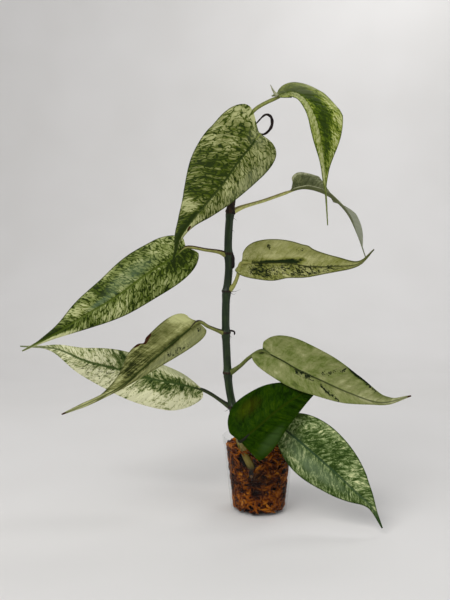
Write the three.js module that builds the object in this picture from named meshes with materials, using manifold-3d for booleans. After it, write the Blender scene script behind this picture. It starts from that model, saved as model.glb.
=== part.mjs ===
// A climbing marbled aroid in a small clear nursery pot: one upright stem with ten long-tipped
// leaves, rooted in orange-brown sphagnum moss. Millimetres, +Z up. The origin is the middle of
// the pot's foot, and the side that the plant is looked at from is -Y.
import * as THREE from 'three';
import { mergeVertices } from 'three/addons/utils/BufferGeometryUtils.js';
import Module from 'manifold-3d';

const wasm = await Module();
wasm.setup();

// Driving dimensions
const CLEARANCE = 0.3; // between pieces that touch
const POT_HEIGHT = 58;
const POT_FOOT_RADIUS = 22;
const POT_RIM_RADIUS = 29;
const POT_WALL = 1.1;
const RIM_BAND_HEIGHT = 6;
const RIM_STEP = 1.2; // how far the rim band stands out of the wall
const DRAIN_HOLES = 6;
const DRAIN_HOLE_RADIUS = 2.6;
const DRAIN_RING_RADIUS = 14;
const MOSS_TOP = 50; // at the wall
const MOSS_MOUND = 5; // how much higher the middle is
const MOSS_RELIEF = 1.7;
const MOSS_STRANDS = 14;
const STEM_RADIUS = 3.1;
const NODE_SWELLING = 0.7;
const NODE_SPREAD = 3.5; // how far along the stem a swelling reaches
const PETIOLE_RADIUS = 1.5;
const BLADE_THICKNESS = 0.8;
const MIDRIB_DEPTH = 0.9; // how far the midrib stands out under the blade
const PETIOLE_FOOT_SWELLING = 0.6; // share by which a petiole thickens where it clasps the stem
const PETIOLE_STEPS = 11;
const PETIOLE_SIDES = 6;
const ROOT_RADIUS = 1.1;

// The stem's centre line, from its buried end to the growing tip
const STEM_LINE = [
  [-6, -20, 33], [-7, -20, 38], [-11, -17.5, 47], [-15, -12, 56], [-18, -5, 70], [-22, 0, 86],
  [-24, 0, 98], [-25.5, 0, 122], [-26.5, 0, 146], [-26, 0, 168], [-24, 0, 190], [-24.5, 0, 210],
  [-23, 0, 234], [-20.5, 0, 254], [-18, 0, 274], [-17, 1, 289],
];
// Heights of the rings that the leaves grew from
const NODE_HEIGHTS = [66, 73, 80, 107, 139, 172, 202, 236, 262, 280];

// Each leaf: its petiole from the stem to the blade, and its midrib from there to the drip tip.
// lean turns the blade about its midrib, and is 0 where the upper face looks at the viewer. The
// next values are pairs, for the left and the right half seen from above with the tip ahead: the
// half's width, how far its lobe reaches behind the petiole, the angle at which it rises from the
// midrib, and how much more it bends by its margin. lean and fold list angles for even steps from
// base to tip. peak is where the half is widest, taper how it narrows, tail the drip tip's share
// of the length, and drip the drip tip's half-width where it starts. Each of the swells that
// some margins have lists its side, its place along the blade, its reach there and its height.
const LEAVES = {
  leaf_a: {
    petiole: [[-19, 0, 263], [-12, -3, 277], [-5, -8, 290]],
    midrib: [[0, -14, 295], [-8, -22, 282], [-16, -28, 271], [-29, -36, 251], [-42, -43, 234],
      [-52, -48, 221], [-59, -51, 210], [-64, -54, 193]],
    lean: [0], width: [22, 35], lobe: [1, 22], fold: [[-5], [0]], curl: [-20, -20],
    peak: [0.14, 0.13], taper: [1.45, 1.2], tail: 0.06, drip: 1.5, wave: 0.8,
    swells: [[1, 0.42, 0.2, 4.5], [0, 0.75, 0.1, -1]],
  },
  leaf_b: {
    petiole: [[-17, 0, 280], [-13, 1, 301], [-4, 2, 318]],
    midrib: [[17, 4, 331], [28, 3, 333], [36.5, 1, 327], [43.5, -2, 314], [48, -4, 298],
      [50.5, -5, 281], [52, -6, 257], [54, -6, 225]],
    lean: [-58, -42, -40, -40], width: [28.5, 21], lobe: [6, 1],
    fold: [[0, 30, 5, 5], [10, 28, 30, 30]], curl: [-12, -20], peak: [0.24, 0.3],
    taper: [1.6, 1], tail: 0.22, drip: 1.1, wave: 0.8,
  },
  leaf_c: {
    petiole: [[-22, 0, 236], [-14, 6, 241], [6, 18, 249]],
    midrib: [[29, 32, 260], [43, 42, 264], [60, 52, 262], [74, 58, 255], [85, 62, 244],
      [94, 65, 227], [102, 66, 205]],
    lean: [-90, -85, -80], width: [22, 14], lobe: [-11, 2],
    fold: [[60, 62, 55, 8, 45, 52, 55], [5]],
    curl: [-20, -20], peak: [0.3, 0.3], taper: [0.85, 1], tail: 0.1, drip: 0.9, wave: 0.5,
  },
  leaf_d: {
    petiole: [[-25, 0, 201], [-30, -1, 204], [-42, -2, 206]],
    midrib: [[-58, -3, 208], [-69, -6, 199], [-90, -10, 185], [-112, -14, 168], [-135, -17, 154],
      [-157, -19, 140], [-182, -20, 127]],
    lean: [0], width: [20, 21.5], lobe: [5, 3], fold: [[0], [0]], curl: [-20, -20],
    peak: [0.2, 0.28], taper: [1.1, 1.15], tail: 0.08, drip: 1.8, wave: 0.8,
    swells: [[1, 0.05, 0.09, 3], [1, 0.75, 0.1, -1.2], [0, 0.8, 0.12, -1.2]],
  },
  leaf_e: {
    petiole: [[-25, 0, 172], [-20, -2, 178], [-17, -4, 185]],
    midrib: [[-14, -6, 195], [2, -9, 195], [20, -11, 195], [39, -13, 192], [58, -15, 192],
      [76, -16, 194], [88, -16, 205]],
    lean: [180], width: [13, 18.5], lobe: [5, -1], fold: [[0], [0]], curl: [-20, -20],
    peak: [0.2, 0.22], taper: [1.35, 1.25], tail: 0.1, drip: 1.3, wave: 0.8,
    swells: [[0, 0.22, 0.08, 1.5], [0, 0.55, 0.12, -1.2], [1, 0.43, 0.04, 1]],
  },
  leaf_f: {
    petiole: [[-26, 0, 139], [-33, -3, 142], [-40, -6, 145]],
    midrib: [[-48, -10, 149], [-59, -15, 140], [-73, -22, 128], [-87, -29, 116], [-103, -36, 103],
      [-118, -41, 95], [-144, -47, 84]],
    lean: [180], width: [17.5, 12.5], lobe: [-4, 1], fold: [[0], [10]], curl: [-20, -20],
    peak: [0.22, 0.1], taper: [0.95, 1.6], tail: 0.26, drip: 1.7, wave: 0.8,
    swells: [[0, 0.42, 0.09, 3.5], [0, 0.325, 0.02, -2.2]], // the second is a dry bite
  },
  leaf_g: {
    petiole: [[-22, 0, 80], [-30, 2, 85], [-38, 4, 90]],
    midrib: [[-45, 6, 93], [-64, 11, 97], [-89, 16, 101], [-116, 20, 108], [-144, 22, 115],
      [-170, 24, 125], [-200, 25, 127]],
    lean: [0], width: [24, 16], lobe: [1, -2], fold: [[0], [0]], curl: [-20, -20],
    peak: [0.3, 0.45], taper: [1.2, 1.05], tail: 0.12, drip: 1.2, wave: 0.8,
    swells: [[0, 0.13, 0.1, 2], [1, 0.72, 0.12, -2]],
  },
  leaf_h: {
    petiole: [[-24, 0, 107], [-15, -5, 114], [-8, -10, 121]],
    midrib: [[2, -17, 127], [15, -25, 121], [28, -34, 114], [42, -41, 108], [63, -46, 99],
      [84, -49, 93], [105, -51, 98]],
    lean: [180], width: [14.5, 21], lobe: [6, 2], fold: [[0], [0]], curl: [-20, -20],
    peak: [0.2, 0.3], taper: [1.1, 0.95], tail: 0.1, drip: 2, wave: 0.8,
    swells: [[0, 0.78, 0.14, -2.5]],
  },
  leaf_i: {
    petiole: [[-19, -3, 72], [-18, -18, 74], [-17, -33, 70]],
    midrib: [[-16, -48, 65], [-5, -48, 74], [12, -46, 88], [35, -34, 100], [61, -20, 112]],
    lean: [-30, -35, -35], width: [28, 20.5], lobe: [3, -1], fold: [[0], [-25]],
    curl: [-20, -20], peak: [0.2, 0.04], taper: [1.5, 1.3], tail: 0.06, drip: 1.4, wave: 0.8,
  },
  leaf_j: {
    petiole: [[-18, -4, 68], [-8, -14, 74], [6, -25, 77]],
    midrib: [[16, -32, 71], [28, -37, 62], [40, -40, 52], [53, -43, 41], [66, -47, 29],
      [77, -50, 19], [84, -53, 5]],
    lean: [0], width: [23.5, 20], lobe: [6, 4], fold: [[0], [0]], curl: [-20, -20],
    peak: [0.3, 0.3], taper: [1.1, 1.3], tail: 0.08, drip: 1.8, wave: 0.8,
    swells: [[1, 0.78, 0.14, -2.2], [0, 0.82, 0.1, -2.2]],
  },
};

const vector = (point) => new THREE.Vector3(...point);
const curveThrough = (points) => new THREE.CatmullRomCurve3(points.map(vector), false, 'centripetal');
const radians = THREE.MathUtils.degToRad;

function solidOf(geometry) {
  geometry.deleteAttribute('normal');
  geometry.deleteAttribute('uv');
  const merged = mergeVertices(geometry, 1e-4);
  return new wasm.Manifold(new wasm.Mesh({
    numProp: 3,
    vertProperties: new Float32Array(merged.attributes.position.array),
    triVerts: new Uint32Array(merged.index.array),
  }));
}

// Scraps that a cut leaves loose are dropped: the largest body is the piece.
function largestBody(solid) {
  return solid.decompose().reduce((best, body) => (body.volume() > best.volume() ? body : best));
}

function geometryOf(solid) {
  const mesh = largestBody(solid).getMesh();
  const geometry = new THREE.BufferGeometry();
  geometry.setAttribute('position', new THREE.BufferAttribute(new Float32Array(mesh.vertProperties), 3));
  geometry.setIndex(new THREE.BufferAttribute(new Uint32Array(mesh.triVerts), 1));
  geometry.computeVertexNormals();
  return geometry;
}

// A round tube along a curve, closed at both ends. radiusAt gives its radius from 0 to 1 along it,
// and overrun is how far it goes on past each end.
function taperedTube(curve, radiusAt, steps, sides, overrun = 0) {
  const section = new THREE.Shape();
  section.absarc(0, 0, 1, 0, 2 * Math.PI);
  const ring = new THREE.Shape(section.getSpacedPoints(sides).slice(0, sides));
  const geometry = new THREE.ExtrudeGeometry(ring, { steps, extrudePath: curve, bevelEnabled: false });
  const stations = curve.getSpacedPoints(steps);
  const position = geometry.attributes.position;
  const point = new THREE.Vector3();
  for (let i = 0; i < position.count; i += 1) {
    point.fromBufferAttribute(position, i);
    const nearest = stations.reduce(
      (best, station, k) => (station.distanceTo(point) < stations[best].distanceTo(point) ? k : best), 0);
    const station = stations[nearest];
    point.sub(station).multiplyScalar(radiusAt(nearest / steps)).add(station);
    const past = nearest === 0 ? -overrun : nearest === steps ? overrun : 0;
    point.addScaledVector(curve.getTangentAt(nearest / steps), past);
    position.setXYZ(i, point.x, point.y, point.z);
  }
  return geometry;
}

// Stem: swollen at each node, and drawn in to the growing tip
const stemCurve = curveThrough(STEM_LINE);
const STEM_STEPS = 50;
const STEM_SIDES = 9;
const TIP_TAPER = 18; // how fast the growing tip widens, and how wide it starts
const TIP_BLUNTNESS = 0.25;
function stemRadiusAt(share) {
  const height = stemCurve.getPointAt(share).z;
  const swelling = NODE_HEIGHTS.reduce(
    (sum, node) => sum + Math.exp(-(((height - node) / NODE_SPREAD) ** 2)), 0);
  const tip = Math.min(1, (1 - share) * TIP_TAPER + TIP_BLUNTNESS);
  return (STEM_RADIUS + NODE_SWELLING * Math.min(1, swelling)) * tip;
}
// Dry stubs of aerial roots, of which the lower one hooks down
const ROOT_STUBS = [
  { line: [[-24, 0, 204], [-21.6, -0.6, 201], [-20.6, -1, 196]], radius: 1.5 },
  { line: [[-26, 0, 141], [-21.5, -1, 141.5], [-19.5, -1.4, 140.5], [-19.6, -1.4, 138]], radius: 0.9 },
  { line: [[-22, 0, 238], [-20, -1.6, 237], [-19.2, -2, 234]], radius: 0.9 },
];
const rootStub = ({ line, radius }) => solidOf(
  taperedTube(curveThrough(line), (share) => radius * (1 - 0.35 * share), 5, 6));
const stemBody = ROOT_STUBS.reduce(
  (solid, stub) => solid.add(rootStub(stub)),
  solidOf(taperedTube(stemCurve, stemRadiusAt, STEM_STEPS, STEM_SIDES)));
const stemRoom = solidOf(taperedTube(
  stemCurve, (share) => stemRadiusAt(share) + CLEARANCE, STEM_STEPS, STEM_SIDES, CLEARANCE));

// A leaf blade. u runs along the midrib, v from the left margin at 1 to the right one at -1.
const BLADE_STEPS = 16;
const BASE_CROWDING = 1.4; // above 1, the steps lie closer at the base, where the outline turns
const BLADE_COLUMNS = [-1, -0.68, -0.36, -0.1, 0, 0.1, 0.36, 0.68, 1];
const BASE_REACH = 0.008; // share of the length by which the outline starts behind u = 0
const FORWARD_SWEEP = 4; // how far the side veins lean to the tip
const TIP_HALF = 0.5; // half-width of the drip tip's end
const DRIP_RUN = 0.15; // share of the length over which the drip tip thins

// The value at a share of the length, between those listed for even steps from base to tip
function stationValue(stations, share) {
  if (stations.length === 1) return stations[0];
  const place = THREE.MathUtils.clamp(share, 0, 1) * (stations.length - 1);
  const index = Math.min(Math.floor(place), stations.length - 2);
  return THREE.MathUtils.lerp(stations[index], stations[index + 1], place - index);
}

function halfWidth(leaf, side, u) {
  const peak = leaf.peak[side];
  const taper = leaf.taper[side];
  const body = Math.min(1, u / (1 - leaf.tail));
  const outline = ((body + BASE_REACH) / (peak + BASE_REACH)) ** (taper * (peak + BASE_REACH) / (1 - peak))
    * ((1 - body) / (1 - peak)) ** taper;
  const swell = (leaf.swells ?? []).filter(([swollenSide]) => swollenSide === side).reduce(
    (sum, [, at, span, rise]) => sum + rise * Math.exp(-(((u - at) / span) ** 2)), 0);
  const drip = THREE.MathUtils.lerp(TIP_HALF, leaf.drip, Math.min(1, (1 - u) / DRIP_RUN));
  return Math.hypot(Math.max(0, leaf.width[side] * outline + swell), drip);
}

function bladePoint(leaf, curve, u, v) {
  const side = v >= 0 ? 0 : 1;
  const out = Math.abs(v);
  const length = curve.getLength();
  const forward = FORWARD_SWEEP * 4 * u * (1 - u) * out ** 1.5;
  const backward = leaf.lobe[side] * (1 - u) ** 6 * Math.sin(out * Math.PI / 2) ** 1.3;
  const share = u + (forward - backward) / length;
  const within = THREE.MathUtils.clamp(share, 0, 1);
  const along = curve.getTangentAt(within);
  const origin = curve.getPointAt(within).addScaledVector(along, (share - within) * length);
  const up = new THREE.Vector3(0, -1, 0).projectOnPlane(along).normalize();
  up.applyAxisAngle(along, radians(stationValue(leaf.lean, share)));
  const across = new THREE.Vector3().crossVectors(up, along).multiplyScalar(side === 0 ? 1 : -1);
  const width = halfWidth(leaf, side, u);
  const fold = radians(stationValue(leaf.fold[side], share));
  const curl = radians(leaf.curl[side]);
  const reach = width * (Math.sin(fold + curl * out) - Math.sin(fold)) / curl;
  const rise = width * (Math.cos(fold) - Math.cos(fold + curl * out)) / curl;
  const ripple = leaf.wave * out * out * Math.min(1, width / 8)
    * Math.sin(2 * Math.PI * (3 * u + 0.4 * side));
  return origin.addScaledVector(across, reach).addScaledVector(up, rise + ripple);
}

function bladeNormal(leaf, curve, u, v) {
  const step = 0.02;
  const ahead = bladePoint(leaf, curve, Math.min(1, u + step), v);
  const behind = bladePoint(leaf, curve, Math.max(0, u - step), v);
  const left = bladePoint(leaf, curve, u, Math.min(1, v + step));
  const right = bladePoint(leaf, curve, u, Math.max(-1, v - step));
  return ahead.sub(behind).cross(left.sub(right)).normalize();
}

function bladeGeometry(leaf, curve) {
  const columns = BLADE_COLUMNS.length;
  const upper = [];
  const lower = [];
  for (let i = 0; i <= BLADE_STEPS; i += 1) {
    const u = (i / BLADE_STEPS) ** BASE_CROWDING;
    for (const v of BLADE_COLUMNS) {
      const point = bladePoint(leaf, curve, u, v);
      const normal = bladeNormal(leaf, curve, u, v);
      const rib = v === 0 ? MIDRIB_DEPTH * (1 - u) : 0;
      upper.push(point.clone().addScaledVector(normal, BLADE_THICKNESS / 2));
      lower.push(point.addScaledVector(normal, -BLADE_THICKNESS / 2 - rib));
    }
  }
  const count = upper.length;
  const triangles = [];
  const cell = (a, b, c, d) => triangles.push(a, b, c, a, c, d);
  for (let i = 0; i < BLADE_STEPS; i += 1) {
    for (let j = 0; j < columns - 1; j += 1) {
      const a = i * columns + j;
      const b = a + columns;
      cell(a, b, b + 1, a + 1);
      triangles.push(count + a, count + b + 1, count + b, count + a, count + a + 1, count + b + 1);
    }
    const right = i * columns;
    const left = right + columns - 1;
    cell(count + right, count + right + columns, right + columns, right);
    cell(left, left + columns, count + left + columns, count + left);
  }
  for (let j = 0; j < columns - 1; j += 1) {
    const tip = BLADE_STEPS * columns + j;
    cell(j, j + 1, count + j + 1, count + j);
    cell(count + tip, count + tip + 1, tip + 1, tip);
  }
  const geometry = new THREE.BufferGeometry();
  const positions = [...upper, ...lower].flatMap((point) => point.toArray());
  geometry.setAttribute('position', new THREE.Float32BufferAttribute(positions, 3));
  geometry.setIndex(triangles);
  return geometry;
}

// A petiole clasps the stem with a swollen foot, and runs on a little under the midrib.
const PETIOLE_RUN_ON = 9;
function petioleGeometry(leaf, curve) {
  const under = (distance, depth) => {
    const share = distance / curve.getLength();
    const normal = bladeNormal(leaf, curve, Math.max(0.02, share), 0);
    return curve.getPointAt(share).addScaledVector(normal, -depth);
  };
  const line = new THREE.CatmullRomCurve3(
    [...leaf.petiole.map(vector), under(0, 0.9), under(PETIOLE_RUN_ON, 0.5)], false, 'centripetal');
  const foot = (share) => PETIOLE_FOOT_SWELLING * Math.exp(-((share / 0.2) ** 2));
  const thinning = (share) => 3.2 * Math.max(0, share - 0.8);
  const radiusAt = (share) => PETIOLE_RADIUS * (1 + foot(share) - thinning(share));
  return taperedTube(line, radiusAt, PETIOLE_STEPS, PETIOLE_SIDES);
}

function leafSolid(leaf) {
  const curve = curveThrough(leaf.midrib);
  return solidOf(bladeGeometry(leaf, curve)).add(solidOf(petioleGeometry(leaf, curve))).subtract(stemRoom);
}

// Pot: a thin wall that flares to a stepped rim band, and a flat foot with a ring of drain holes
const POT_SIDES = 40;
const HOLE_SIDES = 14;
const RIM_EASE = 0.4; // how much the rim band's corners are eased
const bandFoot = POT_HEIGHT - RIM_BAND_HEIGHT;
const flare = (POT_RIM_RADIUS - RIM_STEP - POT_FOOT_RADIUS) / bandFoot;
const outerRadiusAt = (height) => POT_FOOT_RADIUS + flare * height;
const innerRadiusAt = (height) => outerRadiusAt(height) - POT_WALL;
const point2 = (radius, height) => new THREE.Vector2(radius, height);
// A lathe turns about Y, so its profile is laid over to turn about Z.
const turned = (profile, sides) => new THREE.LatheGeometry(profile, sides).rotateX(Math.PI / 2);

function drainHole(index) {
  const angle = (index / DRAIN_HOLES) * 2 * Math.PI;
  const hole = new THREE.CylinderGeometry(DRAIN_HOLE_RADIUS, DRAIN_HOLE_RADIUS, POT_WALL * 6, HOLE_SIDES);
  hole.rotateX(Math.PI / 2);
  hole.translate(DRAIN_RING_RADIUS * Math.cos(angle), DRAIN_RING_RADIUS * Math.sin(angle), 0);
  return solidOf(hole);
}

const potWall = solidOf(turned([
  point2(0, 0),
  point2(POT_FOOT_RADIUS, 0),
  point2(outerRadiusAt(bandFoot), bandFoot),
  point2(POT_RIM_RADIUS - RIM_EASE, bandFoot + RIM_EASE),
  point2(POT_RIM_RADIUS, POT_HEIGHT - RIM_EASE),
  point2(POT_RIM_RADIUS - RIM_EASE, POT_HEIGHT),
  point2(POT_RIM_RADIUS - POT_WALL, POT_HEIGHT),
  point2(POT_RIM_RADIUS - POT_WALL - RIM_EASE, bandFoot + POT_WALL),
  point2(innerRadiusAt(bandFoot), bandFoot),
  point2(innerRadiusAt(POT_WALL), POT_WALL),
  point2(0, POT_WALL),
], POT_SIDES));
const pot = Array.from({ length: DRAIN_HOLES }, (_, index) => drainHole(index))
  .reduce((solid, hole) => solid.subtract(hole), potWall);

// Roots: a crown just under the stem's cut end, and roots that spread through the moss
const ROOT_CROWN = [[-5.9, -20, 32.6], [-4.9, -19.5, 27.5]];
const ROOT_CROWN_RADIUS = 2.4;
const ROOT_LINES = [
  [[-4.9, -19.5, 27.5], [-10, -12, 22], [-16, -2, 16], [-14, 10, 9], [-4, 16, 5]],
  [[-4.9, -19.5, 27.5], [2, -12, 25], [12, -6, 20], [17, 4, 13], [12, 14, 6]],
  [[-4.9, -19.5, 27.5], [-3, -10, 22], [0, 0, 15], [3, 8, 9], [-2, 12, 14]],
  [[-4.9, -19.5, 27.5], [-8, -15, 18], [-12, -10, 10], [-6, -6, 4.5]],
  [[-4.9, -19.5, 27.5], [1, -17, 19], [8, -14, 11], [12, -6, 5]],
];
function rootsSolid(extra) {
  const crown = taperedTube(curveThrough(ROOT_CROWN), () => ROOT_CROWN_RADIUS + extra, 3, 8, extra);
  const root = (line) => solidOf(taperedTube(
    curveThrough(line), (share) => ROOT_RADIUS * (1 - 0.4 * share) + extra, 8, 5, extra));
  return ROOT_LINES.reduce((solid, line) => solid.add(root(line)), solidOf(crown));
}

// Moss: a packed block with a lumpy skin, and strands that curl out of its top
const MOSS_SIDES = 28;
const MOSS_RINGS = 8;
const MOSS_TOP_RINGS = 6;
const MOSS_FOOT_ROUNDING = 5;
let seed = 20;
function random() {
  seed = (seed * 16807) % 2147483647;
  return seed / 2147483647;
}
function lump(point) {
  const waves = Math.sin(0.62 * point.x + 1.1 * Math.sin(0.41 * point.z))
    * Math.sin(0.58 * point.y + 1.3 * Math.sin(0.37 * point.x + 0.5 * point.z))
    + 0.5 * Math.sin(0.9 * point.z + 0.7 * point.x - 0.8 * point.y);
  return MOSS_RELIEF * (0.5 + 0.33 * waves);
}
function mossBlock() {
  const bottom = POT_WALL + CLEARANCE;
  const profile = [point2(0, bottom), point2(innerRadiusAt(bottom) - MOSS_FOOT_ROUNDING, bottom)];
  for (let i = 0; i <= MOSS_RINGS; i += 1) {
    const height = THREE.MathUtils.lerp(bottom + MOSS_RELIEF, MOSS_TOP, i / MOSS_RINGS);
    profile.push(point2(innerRadiusAt(height) - CLEARANCE, height));
  }
  for (let i = 1; i <= MOSS_TOP_RINGS; i += 1) {
    const share = i / MOSS_TOP_RINGS;
    profile.push(point2((innerRadiusAt(MOSS_TOP) - CLEARANCE) * (1 - share),
      MOSS_TOP + MOSS_MOUND * Math.sin(share * Math.PI / 2)));
  }
  const geometry = turned(profile, MOSS_SIDES);
  const position = geometry.attributes.position;
  const place = new THREE.Vector3();
  for (let i = 0; i < position.count; i += 1) {
    place.fromBufferAttribute(position, i);
    const radius = Math.hypot(place.x, place.y);
    const depth = radius > 1 && place.z > bottom + 1 ? lump(place) : 0;
    const atTop = place.z > MOSS_TOP + 0.1;
    const scale = atTop || radius < 1 ? 1 : (radius - depth) / radius;
    position.setXYZ(i, place.x * scale, place.y * scale, place.z - (atTop ? depth : 0));
  }
  return solidOf(geometry);
}
function mossStrand() {
  const angle = random() * 2 * Math.PI;
  const radius = 4 + 19 * Math.sqrt(random());
  const heading = random() * 2 * Math.PI;
  const reach = 5 + 4 * random();
  const rise = 1.5 + 2.5 * random();
  const line = [-1, -0.4, 0.4, 1].map((share) => {
    const x = radius * Math.cos(angle) + share * reach * Math.cos(heading + 0.5 * share);
    const y = radius * Math.sin(angle) + share * reach * Math.sin(heading + 0.5 * share);
    const inward = Math.min(1, (innerRadiusAt(MOSS_TOP) - 3) / Math.hypot(x, y));
    const top = MOSS_TOP + MOSS_MOUND * Math.sqrt(Math.max(0, 1 - (Math.hypot(x, y) / 27) ** 2));
    return [x * inward, y * inward, top - 2.5 + rise * (1 - share * share)];
  });
  return solidOf(taperedTube(curveThrough(line), (share) => 1.3 - 0.5 * share, 5, 4));
}
const strands = Array.from({ length: MOSS_STRANDS }, mossStrand);
const moss = strands.reduce((solid, strand) => solid.add(strand), mossBlock())
  .subtract(stemRoom).subtract(rootsSolid(CLEARANCE));

// A dry aerial root springs from the topmost node and curls round into a loop.
const AERIAL_ROOT = [
  [-16.5, 0, 277], [-14, 4, 285], [-9, 5, 298], [-1, 3, 309], [6, 2, 315], [10, 2, 313],
  [10.5, 3, 306], [5, 4, 300], [-2, 6, 301],
];
const aerialRoot = solidOf(taperedTube(
  curveThrough(AERIAL_ROOT), (share) => 0.6 + 0.5 * Math.sin(Math.PI * Math.min(1, share * 1.2)), 30, 6))
  .subtract(stemRoom);

// Assembly
const plant = new THREE.Group();
plant.name = 'potted_marbled_aroid';

function place(name, solid, color, roughness) {
  const material = new THREE.MeshStandardMaterial({ color, roughness, metalness: 0 });
  const mesh = new THREE.Mesh(geometryOf(solid), material);
  mesh.name = name;
  plant.add(mesh);
}

place('pot', pot, '#dfe6e4', 0.15);
place('moss', moss, '#8a5522', 0.95);
place('roots', rootsSolid(0), '#b59a6a', 0.8);
place('stem', stemBody, '#1f3826', 0.45);
place('aerial_root', aerialRoot, '#2b1a14', 0.7);
for (const [name, leaf] of Object.entries(LEAVES)) {
  place(name, leafSolid(leaf), '#7d9a55', 0.5);
}

export default plant;
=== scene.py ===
# A climbing marbled aroid in a clear nursery pot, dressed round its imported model.
import math
import random

import bmesh
import bpy
import numpy as np
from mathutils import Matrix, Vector, noise


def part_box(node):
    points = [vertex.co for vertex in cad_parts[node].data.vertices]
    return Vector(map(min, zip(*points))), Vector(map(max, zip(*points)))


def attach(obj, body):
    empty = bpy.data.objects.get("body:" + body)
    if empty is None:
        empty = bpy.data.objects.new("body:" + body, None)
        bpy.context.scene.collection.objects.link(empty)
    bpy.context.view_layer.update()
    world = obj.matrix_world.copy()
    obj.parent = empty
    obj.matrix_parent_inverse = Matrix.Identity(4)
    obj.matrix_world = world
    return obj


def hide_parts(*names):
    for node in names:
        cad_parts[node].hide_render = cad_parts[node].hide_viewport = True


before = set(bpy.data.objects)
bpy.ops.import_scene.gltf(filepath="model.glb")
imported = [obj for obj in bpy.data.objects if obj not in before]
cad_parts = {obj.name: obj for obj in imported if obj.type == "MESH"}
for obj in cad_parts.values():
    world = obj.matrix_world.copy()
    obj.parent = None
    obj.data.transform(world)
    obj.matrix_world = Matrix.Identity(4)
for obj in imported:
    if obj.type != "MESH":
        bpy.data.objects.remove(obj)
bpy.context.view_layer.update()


# Pot: a thin nursery pot of clear moulded plastic, glossy on both faces, with an open top, a
# stepped rim band to grip, faint ribs round its lower wall and drain holes through its foot.
# The moss presses on its wall from inside.
MM = 0.001
_, pot_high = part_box("pot")
POT_HEIGHT = pot_high.z
RIM_RADIUS = pot_high.x
FOOT_RADIUS = 22 * MM
WALL = 1.1 * MM
BAND_HEIGHT = 6 * MM
BAND_STEP = 1.2 * MM
EASE = 0.4 * MM
DRAIN_HOLES = 6
DRAIN_HOLE_RADIUS = 2.6 * MM
DRAIN_RING_RADIUS = 14 * MM
DRAIN_HOLE_SIDES = 40
RIBS = 24
RIB_HEIGHT = 0.22 * MM
RIB_REACH = 0.6  # how far up the wall the ribs run
RIB_SHARPNESS = 6
POT_SIDES = 192
WALL_RINGS = 12
CLEAR_TINT = (0.3, 0.32, 0.31)
DUST_TINT = (0.2, 0.19, 0.17)
BAND_FOOT = POT_HEIGHT - BAND_HEIGHT
FLARE = (RIM_RADIUS - BAND_STEP - FOOT_RADIUS) / BAND_FOOT


class Wire:
    """One socket of a material. A sum on it adds the Math node that works the sum out."""

    def __init__(self, tree, socket=None):
        self.tree = tree
        self.socket = socket

    def add(self, kind, settings=None, sockets=None, output=0):
        """Adds a node: its settings first, then the values or links of its sockets."""
        node = self.tree.nodes.new(kind)
        for name, value in (settings or {}).items():
            if name == "stops":
                while len(node.color_ramp.elements) < len(value):
                    node.color_ramp.elements.new(1)
                for element, (position, color) in zip(node.color_ramp.elements, value):
                    element.position = position
                    element.color = (*color, 1)
            else:
                setattr(node, name, value)
        for name, value in (sockets or {}).items():
            socket = node.inputs[name]
            if isinstance(value, Wire):
                self.tree.links.new(value.socket, socket)
            elif socket.type == "RGBA":
                socket.default_value = (*value, 1)
            else:
                socket.default_value = value
        return Wire(self.tree, node.outputs[output] if node.outputs else None)

    def math(self, operation, *values):
        return self.add("ShaderNodeMath", {"operation": operation}, dict(enumerate(values)))

    def __add__(self, other):
        return self.math("ADD", self, other)

    def __radd__(self, other):
        return self.math("ADD", other, self)

    def __sub__(self, other):
        return self.math("SUBTRACT", self, other)

    def __rsub__(self, other):
        return self.math("SUBTRACT", other, self)

    def __mul__(self, other):
        return self.math("MULTIPLY", self, other)

    def __rmul__(self, other):
        return self.math("MULTIPLY", other, self)

    def __truediv__(self, other):
        return self.math("DIVIDE", self, other)

    def __rtruediv__(self, other):
        return self.math("DIVIDE", other, self)

    def __abs__(self):
        return self.math("ABSOLUTE", self)

    def between(self, low, high):
        """0 at low, 1 at high and smooth from one to the other, and flat outside them."""
        return self.add("ShaderNodeMapRange", {"interpolation_type": "SMOOTHSTEP"},
                        {"Value": self, "From Min": low, "From Max": high})

    def blend(self, first, second):
        """The first colour where this wire is 0, and the second where it is 1."""
        return self.add("ShaderNodeMix", {"data_type": "RGBA"}, {0: self, 6: first, 7: second}, 2)

    def noise(self, scale, detail=3, roughness=0.55, distortion=0):
        """A cloudy value about 0.5, at the place that this wire gives."""
        return self.add("ShaderNodeTexNoise", None, {
            "Vector": self, "Scale": scale, "Detail": detail, "Roughness": roughness,
            "Distortion": distortion})

    def read(self, name):
        """The three numbers that the mesh holds under this name."""
        held = self.add("ShaderNodeAttribute", {"attribute_name": name}, None, "Vector")
        return [self.add("ShaderNodeSeparateXYZ", None, {0: held}, axis) for axis in range(3)]

    def where(self):
        """The place on the object, in metres."""
        return self.add("ShaderNodeTexCoord", None, None, "Object")

    def place(self, x, y, z):
        return self.add("ShaderNodeCombineXYZ", None, {"X": x, "Y": y, "Z": z})

    def rough(self, strength, depth, height):
        """The bumps that a height gives a surface, at most a depth in millimetres."""
        return self.add("ShaderNodeBump", None, {
            "Strength": strength, "Distance": depth * MM, "Height": height})


def tint(red, green, blue):
    """A colour as it looks on a screen, from 0 to 255, in the renderer's own values."""
    return tuple((value / 255) ** 2.2 for value in (red, green, blue))


def new_finish(name):
    """An empty material, and the wire that its nodes are added from."""
    material = bpy.data.materials.new(name)
    material.use_nodes = True
    material.node_tree.nodes.clear()
    return material, Wire(material.node_tree)


def show(start, shader):
    start.add("ShaderNodeOutputMaterial", None, {"Surface": shader})


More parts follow.
